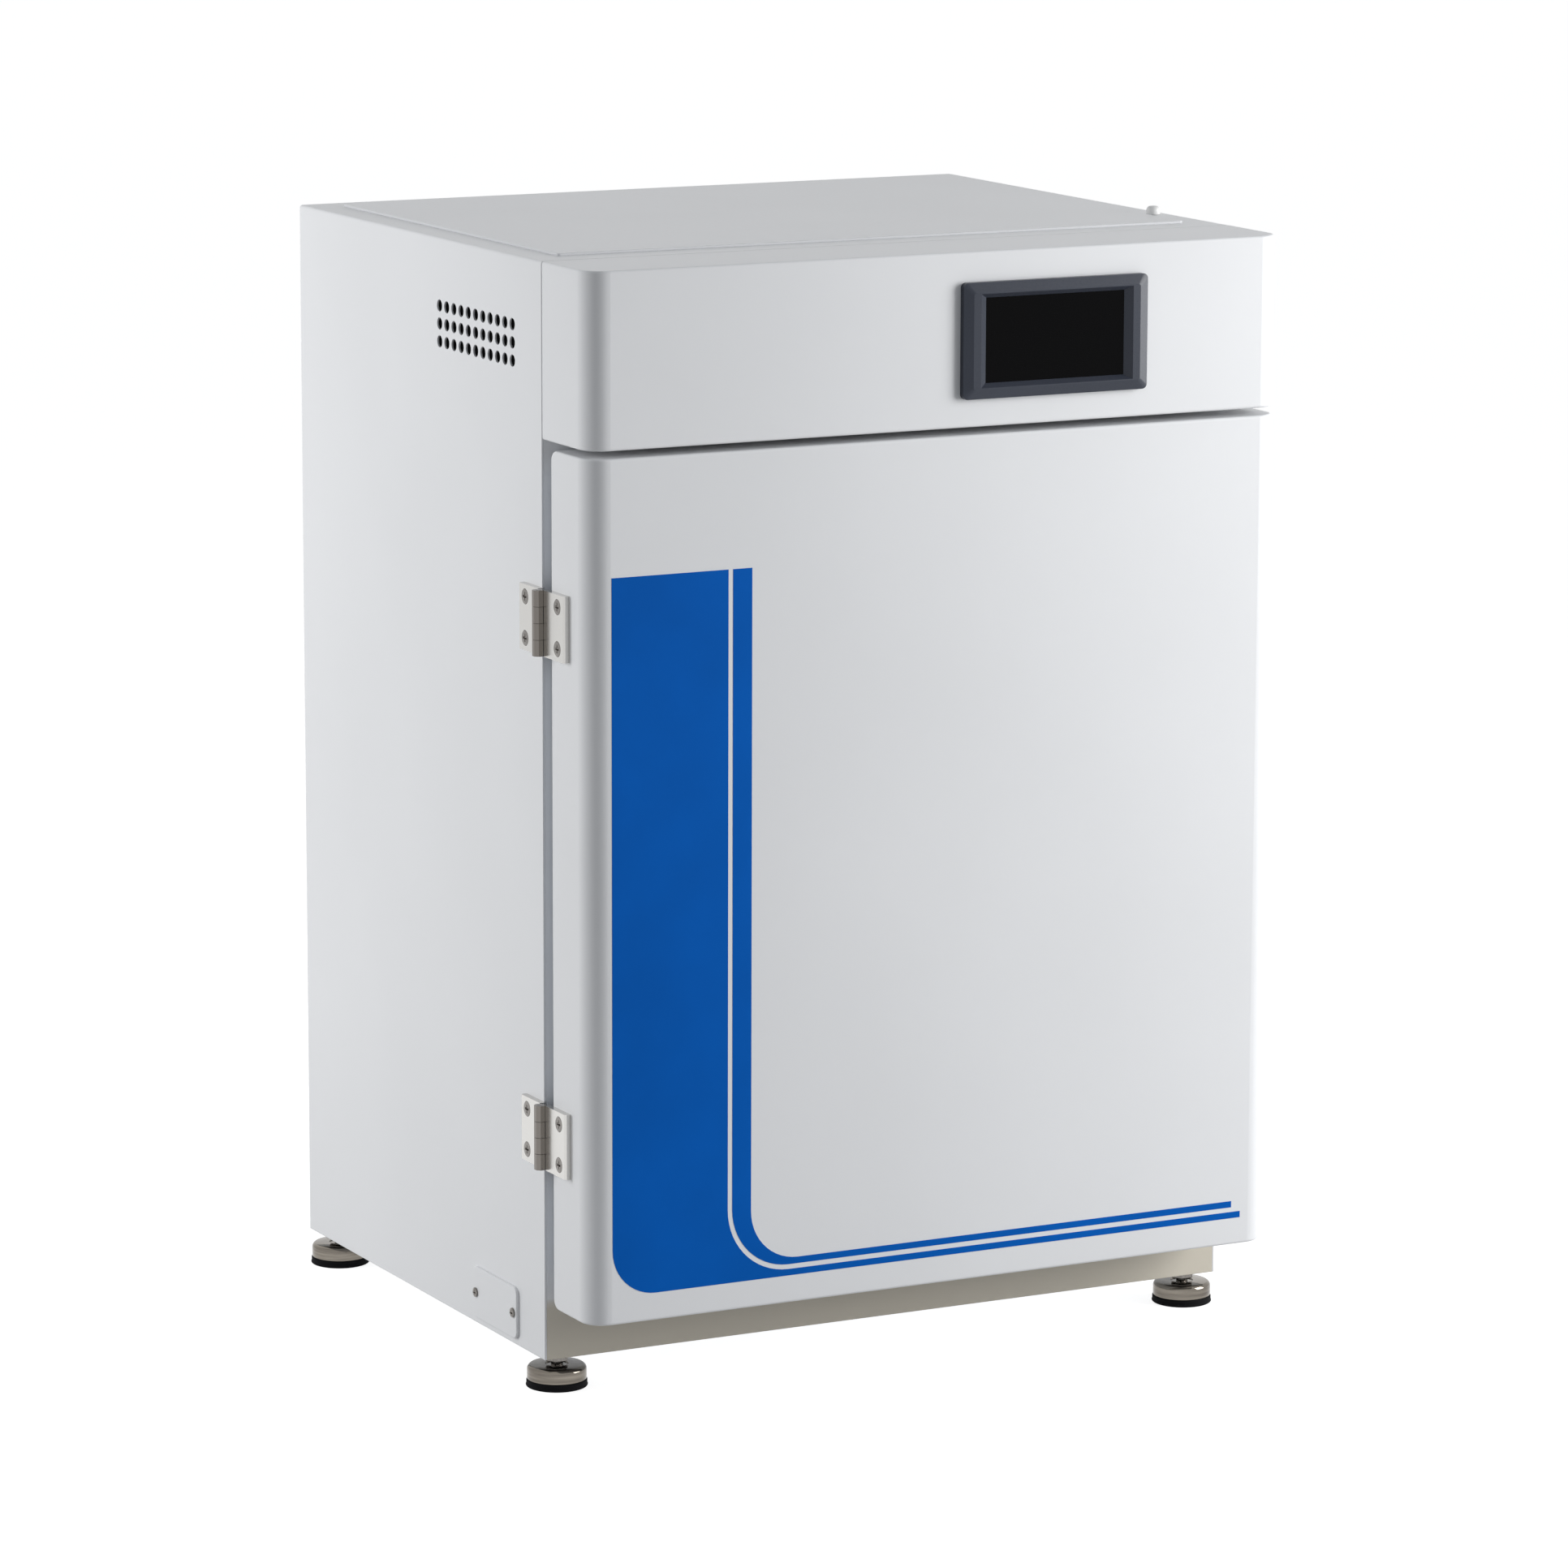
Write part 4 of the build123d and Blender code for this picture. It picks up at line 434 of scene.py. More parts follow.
tree.links.new(cells.outputs["Color"], shader.inputs["Base Color"])

door_glass, tree, shader = new_finish("door_glass", (0.93, 0.985, 0.965), 0.02)
shader.inputs["Transmission Weight"].default_value = 1.0
shader.inputs["IOR"].default_value = 1.45
wipes = surface_noise(tree, 6, (1, 1, 3), detail=5)
roughness_between(tree, shader, wipes, 0.01, 0.035)
print("glass:", screen_glass.name, door_glass.name)

# %% [markdown]
# ## Hidden materials
# Pieces inside the walls are seen only when a panel is taken off. A plain colour would do there,
# but a piece can also be looked at by itself, so each keeps a true finish.
# Foam is pale yellow with open pores, heating film is amber with its printed track, the circuit
# board is green with fine tracks, and the filter is white fleece.


# %% Foam, film, board and fleece
foam, tree, shader = new_finish("insulation_foam", (0.78, 0.71, 0.47), 0.9, specular=0.2)
pores = tree.nodes.new("ShaderNodeTexVoronoi")
pores.inputs["Scale"].default_value = 600
tree.links.new(on_piece(tree), pores.inputs["Vector"])
shade_between(
    tree, shader, pores.outputs["Distance"], (0.58, 0.50, 0.29), (0.80, 0.73, 0.50), 0.05, 0.5
)
relief(tree, shader, pores.outputs["Distance"], 400 * micron, 0.7)

heater_film, tree, shader = new_finish("heater_film", (0.42, 0.17, 0.03), 0.3)
track = tree.nodes.new("ShaderNodeTexWave")
track.bands_direction = "Z"
track.inputs["Scale"].default_value = 32
tree.links.new(on_piece(tree), track.inputs["Vector"])
shade_between(tree, shader, track.outputs["Fac"], (0.42, 0.17, 0.03), (0.50, 0.34, 0.20), 0.45, 0.55)

board_green, tree, shader = new_finish("circuit_board", (0.02, 0.16, 0.07), 0.38)
tracks = tree.nodes.new("ShaderNodeTexBrick")
tracks.inputs["Scale"].default_value = 90
tracks.inputs["Mortar Size"].default_value = 0.03
tracks.inputs["Color1"].default_value = (0.016, 0.14, 0.06, 1)
tracks.inputs["Color2"].default_value = (0.022, 0.17, 0.075, 1)
tracks.inputs["Mortar"].default_value = (0.05, 0.26, 0.12, 1)
tree.links.new(on_piece(tree), tracks.inputs["Vector"])
tree.links.new(tracks.outputs["Color"], shader.inputs["Base Color"])

fleece = moulded("filter_fleece", (0.82, 0.82, 0.80), 0.85, 200 * micron, 0.2, 1800)
print("hidden finishes:", foam.name, heater_film.name, board_green.name, fleece.name)

# %% [markdown]
# ## Dressing the CAD pieces
# A CAD piece whose shape is right keeps its mesh and only gets its finish. It could be modelled
# again here, but the CAD shape is exact, and a second one would only drift away from it. The list
# below goes finish by finish, as a paint shop would hang the parts.

# %% Finishes on the CAD pieces
dressed = {
    panel_paint: (
        "left_side_panel", "right_side_panel", "top_cover", "back_panel", "head_shell",
        "door_shell", "service_cover",
    ),
    frame_paint: ("front_frame",),
    galvanised: ("base_plate", "electronics_tray"),
    stainless: (
        "chamber_liner", "shelf_rack", "shelf_upper", "shelf_middle", "shelf_lower", "water_pan",
        "air_duct_cover", "door_liner", "chamber_sensors", "inner_hinge_bases", "latch_base",
        "inner_door_fittings",
    ),
    hinge_nickel: ("hinge_cabinet_leaves", "hinge_door_leaves"),
    screw_steel: ("hinge_pins",),
    bezel_plastic: ("display_bezel",),
    screen_glass: ("display_glass",),
    black_plastic: (
        "display_housing", "door_grip", "latch_lever", "fan_impeller", "power_inlet",
        "power_rocker",
    ),
    stripe_film: ("door_stripes",),
    foam: ("chamber_insulation", "door_insulation"),
    heater_film: ("heating_films", "door_heating_film"),
    door_glass: ("inner_door_glass",),
    white_plastic: ("access_port_sleeve", "vent_plug", "gas_filter"),
    silicone: ("port_stopper", "gas_tubing", "chamber_seal"),
    fleece: ("intake_filter",),
    brass: ("gas_inlet", "solenoid_valve"),
    case_aluminium: ("fan_motor", "power_supply"),
    board_green: ("control_board",),
}
for material, names in dressed.items():
    for name in names:
        for slot in nodes[name].material_slots:
            slot.material = material
print("CAD pieces dressed:", sum(len(names) for names in dressed.values()))

# %% [markdown]
# ## Repeating a piece with Geometry Nodes
# Screws and nut plates come in rows. One tree serves them all: it lays a row of rows of points
# and puts the piece it is given on each. The steps and counts are named inputs, which Python sets
# by each socket's identifier. Array modifiers could do it too, one for each direction, but a tree
# shows the whole rule in one place. Instances are made real and given a material at the end,
# because an export keeps only real meshes.


# %% The tree for rows of rows
def tree_with_inputs(name, inputs):
    """A new tree with a geometry input and output and the named inputs."""
    tree = bpy.data.node_groups.new(name, "GeometryNodeTree")
    tree.is_modifier = True
    face = tree.interface
    face.new_socket("Geometry", in_out="OUTPUT", socket_type="NodeSocketGeometry")
    face.new_socket("Geometry", in_out="INPUT", socket_type="NodeSocketGeometry")
    for title, kind in inputs:
        face.new_socket(title, in_out="INPUT", socket_type=kind)
    return tree, tree.nodes.new("NodeGroupInput"), tree.nodes.new("NodeGroupOutput")


def finish_tree(tree, given, result, shape):
    """Real geometry with its material, out of the tree."""
    real = tree.nodes.new("GeometryNodeRealizeInstances")
    painted = tree.nodes.new("GeometryNodeSetMaterial")
    tree.links.new(shape, real.inputs["Geometry"])
    tree.links.new(real.outputs["Geometry"], painted.inputs["Geometry"])
    tree.links.new(given.outputs["Material"], painted.inputs["Material"])
    tree.links.new(painted.outputs["Geometry"], result.inputs["Geometry"])


def grown(made, tree, values):
    """The object's mesh after the tree has worked on it, with the modifier taken off again."""
    modifier = made.modifiers.new("grow", "NODES")
    modifier.node_group = tree
    for item in tree.interface.items_tree:
        if item.in_out == "INPUT" and item.name in values:
            modifier[item.identifier] = values[item.name]
    made.update_tag()
    worked = made.evaluated_get(bpy.context.evaluated_depsgraph_get())
    mesh = bpy.data.meshes.new_from_object(worked)
    made.modifiers.remove(modifier)
    made.data = mesh
    mark_sharp(mesh)
    print(made.name, "has", len(mesh.polygons), "faces")
    return made


rows_tree, given, result = tree_with_inputs(
    "rows_of_rows",
    [
        ("Start", "NodeSocketVector"), ("Row Count", "NodeSocketInt"),
        ("Row Step", "NodeSocketVector"), ("Count", "NodeSocketInt"),
        ("Step", "NodeSocketVector"), ("Material", "NodeSocketMaterial"),
    ],
)
row_starts = rows_tree.nodes.new("GeometryNodeMeshLine")
one_row = rows_tree.nodes.new("GeometryNodeMeshLine")
rows = rows_tree.nodes.new("GeometryNodeInstanceOnPoints")
points = rows_tree.nodes.new("GeometryNodeRealizeInstances")
copies = rows_tree.nodes.new("GeometryNodeInstanceOnPoints")
link = rows_tree.links.new
link(given.outputs["Start"], row_starts.inputs["Start Location"])
link(given.outputs["Row Count"], row_starts.inputs["Count"])
link(given.outputs["Row Step"], row_starts.inputs["Offset"])
link(given.outputs["Count"], one_row.inputs["Count"])
link(given.outputs["Step"], one_row.inputs["Offset"])
link(row_starts.outputs["Mesh"], rows.inputs["Points"])
link(one_row.outputs["Mesh"], rows.inputs["Instance"])
link(rows.outputs["Instances"], points.inputs["Geometry"])
link(points.outputs["Geometry"], copies.inputs["Points"])
link(given.outputs["Geometry"], copies.inputs["Instance"])
finish_tree(rows_tree, given, result, copies.outputs["Instances"])


def repeated(name, shape, material, start, rows=(1, (0, 0, 0)), steps=(1, (0, 0, 0))):
    """Copies of a shape in rows of rows, as one plain mesh."""
    return grown(piece(name, *shape, material), rows_tree, {
        "Start": tuple(start), "Row Count": rows[0], "Row Step": tuple(rows[1]),
        "Count": steps[0], "Step": tuple(steps[1]), "Material": material,
    })


print("the rows tree has", len(rows_tree.nodes), "nodes")

# %% [markdown]
# ## Screw heads
# A real cross recess is pressed with sloping walls, and its floor is never flat. The head is a
# disc of rings under a low dome, whose height dips inside a cross, with a soft step at its edge.
# Below it three more rings run down to the shank: as a cone for a countersunk screw, or straight
# and then flat for a pan head. A boolean cut would leave long thin faces round the cross, and the
# rings keep the head even, so it shades cleanly.


# %% A screw with a cross recess
def recess_dip(x, y, reach, width, depth):
    """How far the recess dips at a place on the head; it gets shallower towards its ends."""
    along, across = max(abs(x), abs(y)), min(abs(x), abs(y))
    wall, floor_rise = width * 0.35, 0.45
    inside = min(1, max(0, (width - across) / wall)) * min(1, max(0, (reach - along) / wall))
    return depth * inside * (1 - floor_rise * along / reach)


def screw_shape(head, shank, length, rim, cone, dome, reach):
    """A screw that looks up: its head's edge is at z = 0 and its shank goes down."""
    steps, rings = 72, 16
    width, depth = reach * 0.26, reach * 0.7
    vertices = []
    for count in range(1, rings + 1):
        rise = dome * (1 - (count / rings) ** 2)
        vertices += [
            (x, y, rise - recess_dip(x, y, reach, width, depth))
            for x, y, _ in ring(head * count / rings, 0, steps)
        ]
    for radius, z in ((head, -rim), (shank, -rim - cone), (shank, -length)):
        vertices += ring(radius, z, steps)
    return vertices, skin(vertices, steps)


pan_rim = 1.2 * mm
flush_screw = screw_shape(
    head=5.7 * mm, shank=2.5 * mm, length=12 * mm, rim=0.15 * mm, cone=3.1 * mm, dome=0.25 * mm,
    reach=3.1 * mm,
)
pan_screw = screw_shape(
    head=3.7 * mm, shank=1.9 * mm, length=10 * mm, rim=pan_rim, cone=0.05 * mm, dome=0.7 * mm,
    reach=2.2 * mm,
)
print("screw faces:", len(flush_screw[1]), len(pan_screw[1]))

# %% [markdown]
# ## Hinge screws
# Each leaf is held by two countersunk screws that clamp a nut plate behind the sheet. The rows
# tree sets them: one row step from hinge to hinge, one step from screw to screw. Cabinet screws
# and door screws are separate pieces, because they ride on different bodies.

# %% Hinge screws and nut plates
leaf_low, leaf_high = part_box("hinge_cabinet_leaves")
half_leaf = 25 * mm
hinge_step = leaf_high.z - leaf_low.z - 2 * half_leaf
lower_hinge = leaf_low.z + half_leaf
screw_rise = 15.7 * mm
head_proud = 0.02 * mm
plate_thickness, plate_bevel = 4 * mm, 0.4 * mm


def hinge_hardware(name, node, body):
    """Screws and nut plates of the two leaves on one body."""
    low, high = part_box(node)
    screws = repeated(
        name, placed(flush_screw, look_left), screw_steel,
        (low.x - head_proud, (low.y + high.y) / 2, lower_hinge - screw_rise),
        (2, (0, 0, hinge_step)), (2, (0, 0, 2 * screw_rise)),
    )
    plate = box_shape(
        (high.x - plate_thickness, low.y, lower_hinge - half_leaf),
        (high.x, high.y, lower_hinge + half_leaf), plate_bevel,
    )
    plates = repeated(
        name + "_nut_plates", plate, galvanised, (0, 0, 0), (2, (0, 0, hinge_step))
    )
    for made in (screws, plates):
        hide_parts(node)
        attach(made, body)


hinge_hardware("hinge_screws_on_cabinet", "hinge_screws_cabinet", "cabinet")
hinge_hardware("hinge_screws_on_door", "hinge_screws_door", "outer_door")

# %% [markdown]
# ## Service cover screws and back panel screws
# The small cover low on the left is held by two pan-head screws. The back panel is closed by a row
# of the same screw down each upright edge, which the CAD leaves out as too small to matter. One
# shape serves both: it is turned to look out of its panel, and set until the rim of its head
# stands on the sheet.

# %% Pan-head screws
low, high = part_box("service_cover_screws")
screw_inset = 3.8 * mm
service_screws = repeated(
    "service_screws", placed(pan_screw, look_left), screw_steel,
    (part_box("service_cover")[0].x - pan_rim, low.y + screw_inset, (low.z + high.z) / 2),
    steps=(2, (0, high.y - low.y - 2 * screw_inset, 0)),
)
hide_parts("service_cover_screws")
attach(service_screws, "cabinet")

edge = 12 * mm
rear_rows = 7
rear_rim = pan_rim + 0.05 * mm
rear_screws = repeated(
    "rear_screws", placed(pan_screw, look_back), screw_steel,
    (x_left + edge, y_back + rear_rim, z_base + edge),
    (2, (x_right - x_left - 2 * edge, 0, 0)),
    (rear_rows, (0, 0, (z_top - z_base - 2 * edge) / (rear_rows - 1))),
)
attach(rear_screws, "cabinet")

# %% [markdown]
# ## Black sheets behind the vents, as painted shade
# Air enters the electronics bay through round punched vents high on both sides. As painted shade,
# a black sheet behind each field stands for the dark inside of the bay, so the vents look black
# from every side. Black discs in the holes would look right only from straight in front, so it is
# one flat sheet, a few millimetres in and a little larger than the field of vents.

# %% Vent shade sheets
vents_behind_seam, vents_below_top = 116.4 * mm, 65.7 * mm
vent_middle = Vector((0, y_seam + vents_behind_seam, z_top - vents_below_top))
half_field = Vector((0, 76 * mm, 24 * mm))
shade_sheet_gap, shade_sheet_thickness, shade_sheet_bevel = 2.6 * mm, 0.8 * mm, 0.2 * mm
# Each black sheet is painted shade, standing for the dark inside of the bay.
for name, x_face, inward in (("vent_shade_sheet_left", x_left, 1), ("vent_shade_sheet_right", x_right, -1)):
    across = sorted(x_face + inward * reach for reach in (shade_sheet_gap, shade_sheet_gap + shade_sheet_thickness))
    sheet = box_shape(
        vent_middle - half_field + Vector((across[0], 0, 0)),
        vent_middle + half_field + Vector((across[1], 0, 0)), shade_sheet_bevel,
    )
    shade_sheet = piece(name, *sheet, vent_shade_sheet)
    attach(shade_sheet, "cabinet")
print("vent shade sheets hang", round(shade_sheet_gap / mm, 1), "mm behind the sheet")

# %% [markdown]
# ## A profile swept round a frame
# A door gasket is an extruded length bent round a frame, so a tree sweeps a profile along a
# rounded rectangle. A curve with a bevel object could do it too, but a tree takes the size of the
# frame as inputs. The rectangle is drawn flat and stood up at the end, where it is also moved to
# its place. Poly rounding keeps each corner a plain row of points.

# %% The tree that sweeps a profile round a frame
sweep_tree, given, result = tree_with_inputs(
    "sweep_round_frame",
    [
        ("Width", "NodeSocketFloat"), ("Height", "NodeSocketFloat"), ("Corner", "NodeSocketFloat"),
        ("Centre", "NodeSocketVector"), ("Material", "NodeSocketMaterial"),
    ],
)
outline = sweep_tree.nodes.new("GeometryNodeCurvePrimitiveQuadrilateral")
corners = sweep_tree.nodes.new("GeometryNodeFilletCurve")
upright = sweep_tree.nodes.new("GeometryNodeSetCurveNormal")
profile = sweep_tree.nodes.new("GeometryNodeMeshToCurve")
swept = sweep_tree.nodes.new("GeometryNodeCurveToMesh")
stood = sweep_tree.nodes.new("GeometryNodeTransform")
corners.mode = "POLY"
corners.inputs["Count"].default_value = 10
corners.inputs["Limit Radius"].default_value = True
stood.inputs["Rotation"].default_value = (math.radians(90), 0, 0)
link = sweep_tree.links.new
link(given.outputs["Width"], outline.inputs["Width"])
link(given.outputs["Height"], outline.inputs["Height"])
link(outline.outputs["Curve"], corners.inputs["Curve"])
link(given.outputs["Corner"], corners.inputs["Radius"])
link(corners.outputs["Curve"], upright.inputs["Curve"])
link(upright.outputs["Curve"], swept.inputs["Curve"])
link(given.outputs["Geometry"], profile.inputs["Mesh"])
link(profile.outputs["Curve"], swept.inputs["Profile Curve"])
link(swept.outputs["Mesh"], stood.inputs["Geometry"])
link(given.outputs["Centre"], stood.inputs["Translation"])
finish_tree(sweep_tree, given, result, stood.outputs["Geometry"])


def swept_frame(name, section, material, frame_inputs):
    """A closed section of (across, forward) points swept round an upright frame."""
    mesh = bpy.data.meshes.new(name)
    count = len(section)
    mesh.from_pydata(
        [(across, forward, 0) for across, forward in section],
        [(i, (i + 1) % count) for i in range(count)], [],
    )
    made = bpy.data.objects.new(name, mesh)
    bpy.context.collection.objects.link(made)
    return grown(made, sweep_tree, {**frame_inputs, "Material": material})


print("the sweep tree has", len(sweep_tree.nodes), "nodes")

# %% [markdown]
# ## Door gasket
# The gasket has a wide foot on the door, a bellows waist that gives when the door shuts, and a
# soft magnetic head. Half of its section is listed from foot to head and then mirrored.

# %% Door gasket
gasket_size = gasket_high - gasket_low
gasket_middle = (gasket_high + gasket_low) / 2
gasket_width, gasket_corner = 14 * mm, 17 * mm
half_section = (
    (1, 0), (1, 2.2), (0.8, 3.9), (0.42, 4.6), (0.62, 6.0), (0.40, 7.4), (0.62, 8.8),
    (0.42, 10.2), (0.9, 11.0), (1, 11.9), (1, 13.6), (0.86, 14.7),
)
section = [(gasket_width / 2 * share, forward * mm) for share, forward in half_section]
section += [(-across, forward) for across, forward in reversed(section)]
door_gasket = swept_frame("door_gasket_profile", section, gasket_vinyl, {
    "Width": gasket_size.x - gasket_width, "Height": gasket_size.z - gasket_width,
    "Corner": gasket_corner, "Centre": (gasket_middle.x, gasket_low.y, gasket_middle.z),
})
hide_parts("door_gasket")
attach(door_gasket, "outer_door")

# %% [markdown]
# ## A screw thread
# A levelling foot stands on a threaded stud. Its thread is a spiral that a tree sweeps with a small
# four-sided profile and joins to the plain core it is given. Turns, radius and length are inputs,
# so the pitch is the length over the turns. Rings pushed out and in would look like a thread from
# far away, but a real one climbs.

# %% The tree for a thread
thread_tree, given, result = tree_with_inputs(
    "thread",
    [
        ("Turns", "NodeSocketFloat"), ("Radius", "NodeSocketFloat"), ("Length", "NodeSocketFloat"),
        ("Ridge", "NodeSocketFloat"), ("Material", "NodeSocketMaterial"),
    ],
)
spiral = thread_tree.nodes.new("GeometryNodeCurveSpiral")
ridge = thread_tree.nodes.new("GeometryNodeCurvePrimitiveCircle")
swept = thread_tree.nodes.new("GeometryNodeCurveToMesh")
both = thread_tree.nodes.new("GeometryNodeJoinGeometry")
spiral.inputs["Resolution"].default_value = 24
ridge.inputs["Resolution"].default_value = 4
swept.inputs["Fill Caps"].default_value = True
link = thread_tree.links.new
link(given.outputs["Turns"], spiral.inputs["Rotations"])
link(given.outputs["Radius"], spiral.inputs["Start Radius"])
link(given.outputs["Radius"], spiral.inputs["End Radius"])
link(given.outputs["Length"], spiral.inputs["Height"])
link(given.outputs["Ridge"], ridge.inputs["Radius"])
link(spiral.outputs["Curve"], swept.inputs["Curve"])
link(ridge.outputs["Curve"], swept.inputs["Profile Curve"])
link(swept.outputs["Mesh"], both.inputs["Geometry"])
link(given.outputs["Geometry"], both.inputs["Geometry"])
finish_tree(thread_tree, given, result, both.outputs["Geometry"])
print("the thread tree has", len(thread_tree.nodes), "nodes")

# %% [markdown]
# ## Levelling feet
# Each foot is a turned and polished cup on a threaded stud, over a rubber pad, with a lock nut
# under the cabinet. The cup and pad are lathe profiles with rounded lips, from the underside out
# and up, because a lip of its true radius catches a thin line of light that a plain cylinder
# lacks. The nut is a profile turned in only six steps, which makes it a chamfered hexagon. The
# thread grows from the floor up, so its points, told from the core's by their distance from the
# axis, are lifted onto the cup.

# %% Cups, pads, studs and nuts
pad_top, cup_low, cup_high = 5.6 * mm, 5.7 * mm, 17.2 * mm
cup_radius, cup_lip = 22.2 * mm, 0.8 * mm
cup_profile = [
    (20 * mm, cup_low), (cup_radius, cup_low),
    *rounded(cup_radius, cup_low + cup_lip, cup_lip, -60, 0, 3),
    *rounded(19.2 * mm, cup_high - 4 * mm, 3.8 * mm, 0, 78, 9),
    (12 * mm, cup_high - 0.1 * mm), (9 * mm, cup_high), (8.6 * mm, cup_high - cup_lip),
    (6 * mm, cup_high - cup_lip),
]
pad_radius, pad_rim = 22.6 * mm, 23.4 * mm
pad_profile = [
    (21.5 * mm, 0), (pad_radius, 0), *rounded(pad_radius, 1.2 * mm, 1.2 * mm, -80, 0, 4),
    (23.3 * mm, 2.4 * mm), (pad_rim, 3.2 * mm), (pad_rim, 4.6 * mm),
    *rounded(pad_radius, 4.8 * mm, 0.8 * mm, 0, 85, 4), (20 * mm, pad_top),
]
core_radius, core_margin = 4.45 * mm, 0.01 * mm
thread_radius, thread_ridge, thread_turns, thread_stop = 4.5 * mm, 0.5 * mm, 13.0, 1.2 * mm
nut_low, nut_high, nut_width = 19.7 * mm, 25.7 * mm, 17 * mm
cup_steps, core_steps, nut_sides = 96, 32, 6


def hexagon_nut(low, high, across):
    """A hexagon nut with chamfered corners."""
    corner = across / 2 / math.cos(math.radians(180 / nut_sides))
    chamfer = corner - across / 2
    drop = chamfer * 0.6
    profile = [
        (corner - chamfer, low), (corner, low + drop), (corner, high - drop),
        (corner - chamfer, high),
    ]
    return turned(profile, nut_sides)


def level_foot(place_name):
    """Cup, pad, threaded stud and nut of one foot."""
    node, name = "foot_" + place_name, "level_" + place_name
    low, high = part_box(node)
    shift = Matrix.Translation(((low.x + high.x) / 2, (low.y + high.y) / 2, 0))
    cup_shape, pad_shape = turned(cup_profile, cup_steps), turned(pad_profile, cup_steps)
    cup = piece(name + "_cup", *placed(cup_shape, shift), cup_chrome_painted_reflection, degrees=25)
    pad = piece(name + "_pad", *placed(pad_shape, shift), pad_rubber)
    core = turned([(core_radius, cup_high - cup_lip), (core_radius, high.z)], core_steps)
    stud = grown(piece(name + "_stud", *core, screw_steel), thread_tree, {
        "Turns": thread_turns, "Radius": thread_radius,
        "Length": high.z - cup_high - thread_stop, "Ridge": thread_ridge, "Material": screw_steel,
    })
    for vertex in stud.data.vertices:
        from_core = abs(math.hypot(vertex.co.x, vertex.co.y) - core_radius)
        if from_core >= core_margin:
            vertex.co.z += cup_high
    stud.data.transform(shift)
    nut_shape = hexagon_nut(nut_low, nut_high, nut_width)
    nut = piece(name + "_nut", *placed(nut_shape, shift), screw_steel)
    for made, slot_name in (
        (cup, "foot_chrome"), (pad, "black_plastic"), (stud, "screw_steel"), (nut, "screw_steel"),
    ):
        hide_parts(node)
        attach(made, place_name + "_foot")


for place_name in ("front_left", "front_right", "rear_left", "rear_right"):
    level_foot(place_name)

# %% [markdown]
# ## Floor and background
# The photograph stands the incubator on plain white. The floor is a wide pale sheet. What the
# camera, or a reflection, sees of it is lifted to white, while it still takes the shadow under the
# cabinet. The world is white to the same rays and a plain pale grey as a light source. With no
# floor the feet would hang in the air, and with a plainly white world the panels would lose their
# shading.


# %% Floor and world
def seen_directly(tree):
    """1 for rays that show the background: from the camera, in gloss and through glass."""
    path = tree.nodes.new("ShaderNodeLightPath")
    total = path.outputs["Is Camera Ray"]
    for other in ("Is Glossy Ray", "Is Transmission Ray"):
        highest = tree.nodes.new("ShaderNodeMath")
        highest.operation = "MAXIMUM"
        tree.links.new(total, highest.inputs[0])
        tree.links.new(path.outputs[other], highest.inputs[1])
        total = highest.outputs["Value"]
    return total


half_floor, floor_glow = 15, 0.84
sky_tint, sky_light = (0.93, 0.96, 1.0, 1), 0.31
floor_paint, tree, shader = new_finish("studio_floor", (0.45, 0.45, 0.45), 0.9, specular=0.1)
lift = tree.nodes.new("ShaderNodeEmission")
lift.inputs["Color"].default_value = (1, 1, 1, 1)
scaled = tree.nodes.new("ShaderNodeMath")
scaled.operation = "MULTIPLY"
scaled.inputs[1].default_value = floor_glow
tree.links.new(seen_directly(tree), scaled.inputs[0])
tree.links.new(scaled.outputs["Value"], lift.inputs["Strength"])
together = tree.nodes.new("ShaderNodeAddShader")
tree.links.new(shader.outputs["BSDF"], together.inputs[0])
tree.links.new(lift.outputs["Emission"], together.inputs[1])
tree.links.new(together.outputs["Shader"], tree.nodes["Material Output"].inputs["Surface"])
floor = piece(
    "studio_floor_sheet",
    [(x * half_floor, y * half_floor, 0) for x, y in ((-1, -1), (1, -1), (1, 1), (-1, 1))],
    [(0, 1, 2, 3)], floor_paint,
)

world = bpy.data.worlds.new("studio_world")
world.use_nodes = True
bpy.context.scene.world = world
tree = world.node_tree
light_grey = tree.nodes["Background"]
light_grey.inputs["Color"].default_value = sky_tint
light_grey.inputs["Strength"].default_value = sky_light
white = tree.nodes.new("ShaderNodeBackground")
white.inputs["Color"].default_value = (1, 1, 1, 1)
white.inputs["Strength"].default_value = 1.0
choose = tree.nodes.new("ShaderNodeMixShader")
tree.links.new(seen_directly(tree), choose.inputs["Fac"])
tree.links.new(light_grey.outputs["Background"], choose.inputs[1])
tree.links.new(white.outputs["Background"], choose.inputs[2])
tree.links.new(choose.outputs["Shader"], tree.nodes["World Output"].inputs["Surface"])
print("floor and world set")

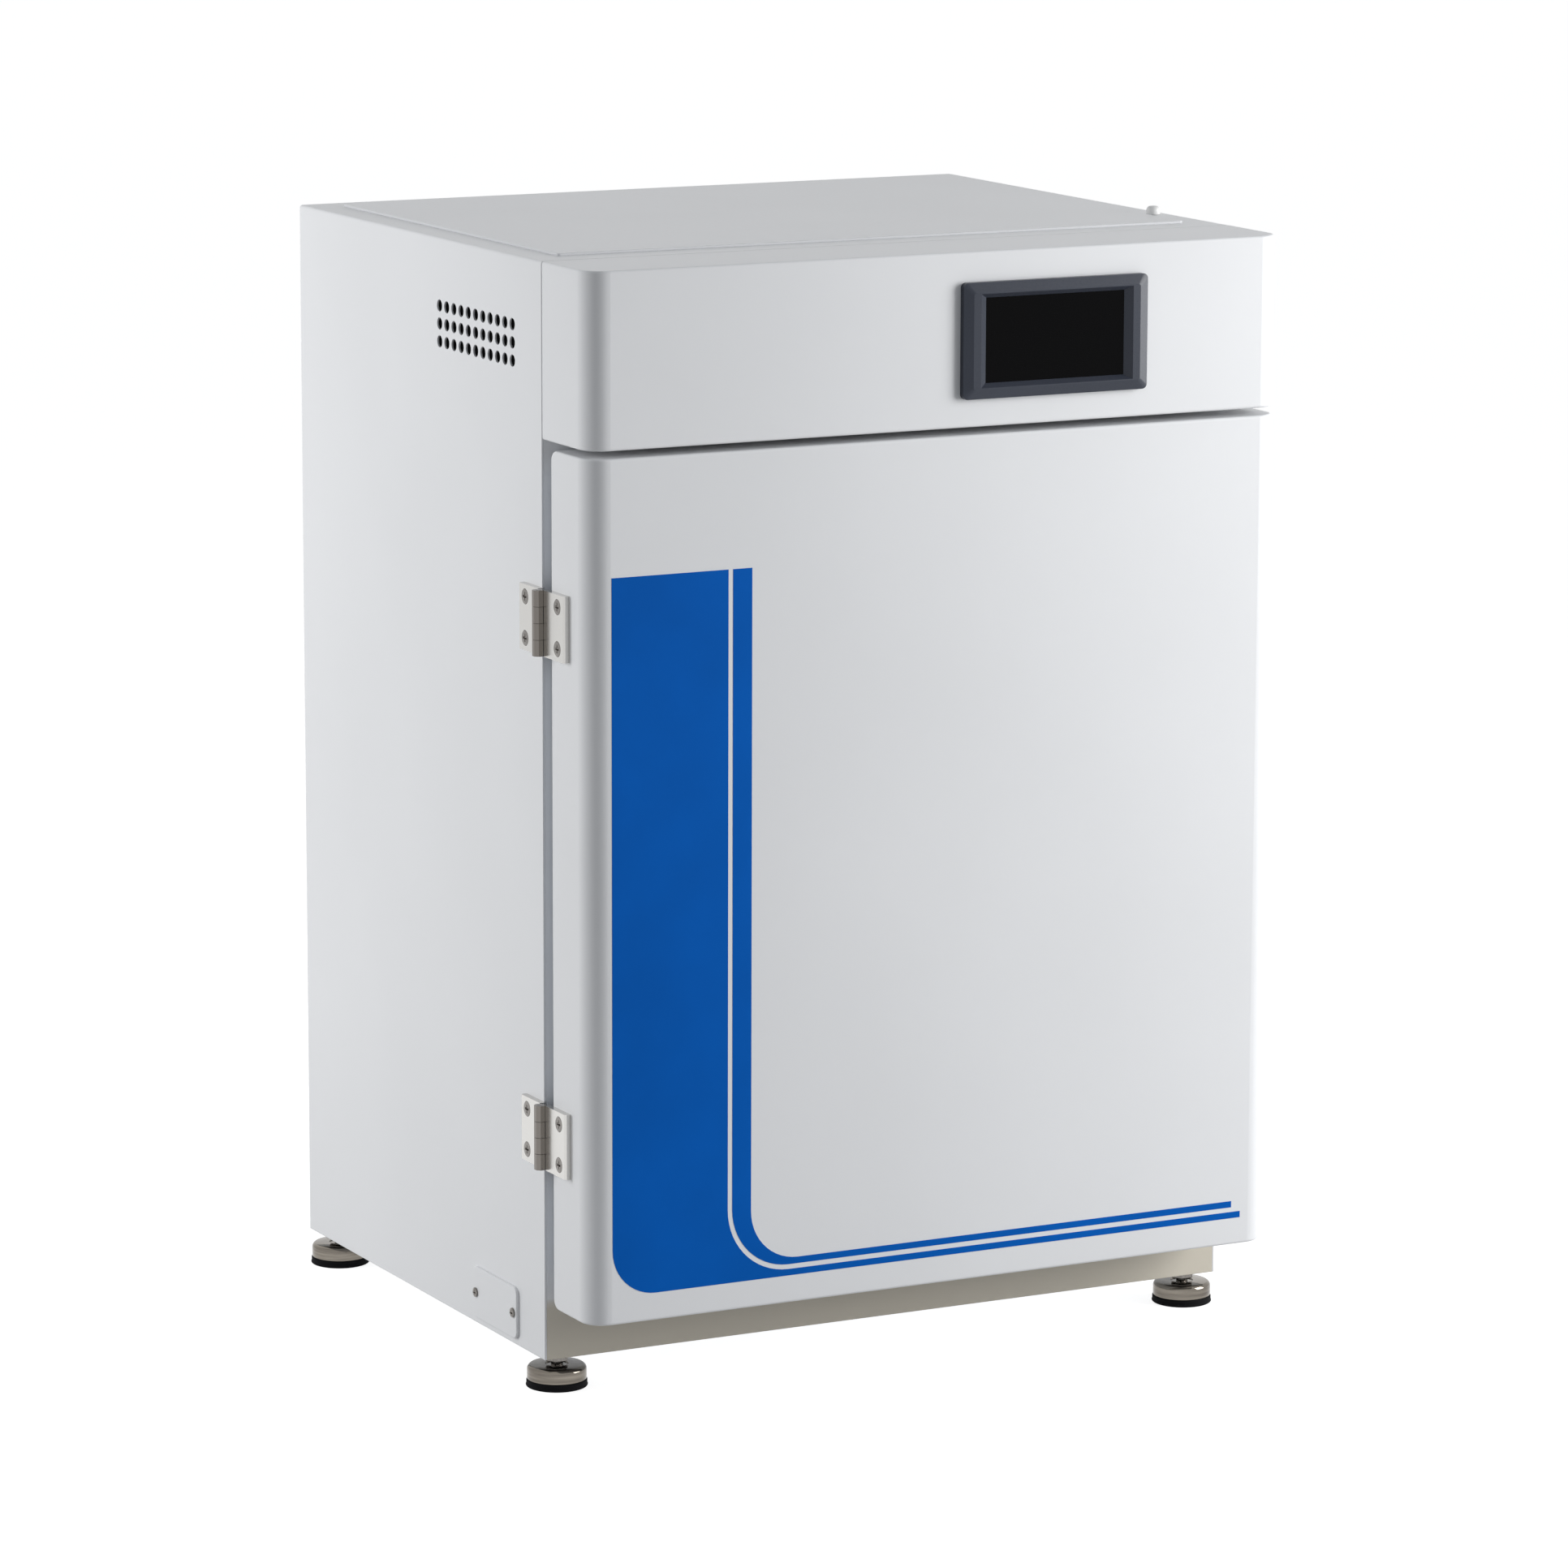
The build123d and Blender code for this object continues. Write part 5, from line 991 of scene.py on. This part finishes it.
# %% [markdown]
# ## Lamps
# Two large soft boxes stand to the right front and the left back, so each lights one face at a
# low angle. The rounded edges between them and the top, which only the pale surroundings light,
# stay darker, as in the photograph. The rear one is hidden from reflections, or the top would
# glare when it is seen from the opposite corner.

# %% Lamps
aim = Vector((0, 0, 0.45))
lamp_width, lamp_height = 1.2, 1.4


def soft_box(name, place, watts):
    """A rectangular lamp turned towards the cabinet."""
    data = bpy.data.lights.new(name, "AREA")
    data.shape = "RECTANGLE"
    data.size, data.size_y = lamp_width, lamp_height
    data.energy = watts
    lamp = bpy.data.objects.new(name, data)
    bpy.context.collection.objects.link(lamp)
    lamp.location = place
    lamp.rotation_mode = "QUATERNION"
    lamp.rotation_quaternion = (aim - Vector(place)).to_track_quat("-Z", "Y")
    return lamp


soft_box("lamp_right_front", (1.75, -1.35, 1.0), 46)
rear_lamp = soft_box("lamp_left_back", (-2.0, 1.1, 1.0), 30)
rear_lamp.visible_glossy = False

# %% [markdown]
# ## Camera
# The camera stands far off to the left with a long lens, a little above the cabinet, as product
# photographs are taken: the edges stay nearly parallel. Its place, turn and lens were worked out
# from the straight edges of the cabinet, door and head.

# %% Camera
turn, lift_angle, roll = math.radians(-27.25), math.radians(10.719), math.radians(0.172)
camera_place = (-2.4229, -4.7189, 1.4184)
lens_pixels, image_pixels, sensor = 8380.7, 1932, 36
backwards = Vector((
    math.sin(turn) * math.cos(lift_angle), -math.cos(turn) * math.cos(lift_angle),
    math.sin(lift_angle),
))
level_right = (-backwards).cross(Vector((0, 0, 1))).normalized()
level_up = level_right.cross(-backwards)
right = math.cos(roll) * level_right + math.sin(roll) * level_up
up = math.cos(roll) * level_up - math.sin(roll) * level_right
camera_data = bpy.data.cameras.new("camera")
camera_data.sensor_width = sensor
camera_data.lens = lens_pixels / image_pixels * sensor
camera_data.clip_end = 60
camera = bpy.data.objects.new("camera", camera_data)
bpy.context.collection.objects.link(camera)
axes = Matrix((right, up, backwards)).transposed().to_4x4()
camera.matrix_world = Matrix.Translation(camera_place) @ axes
bpy.context.scene.camera = camera
bpy.context.scene.view_settings.view_transform = "Standard"
print("lens", round(camera_data.lens, 1), "mm")
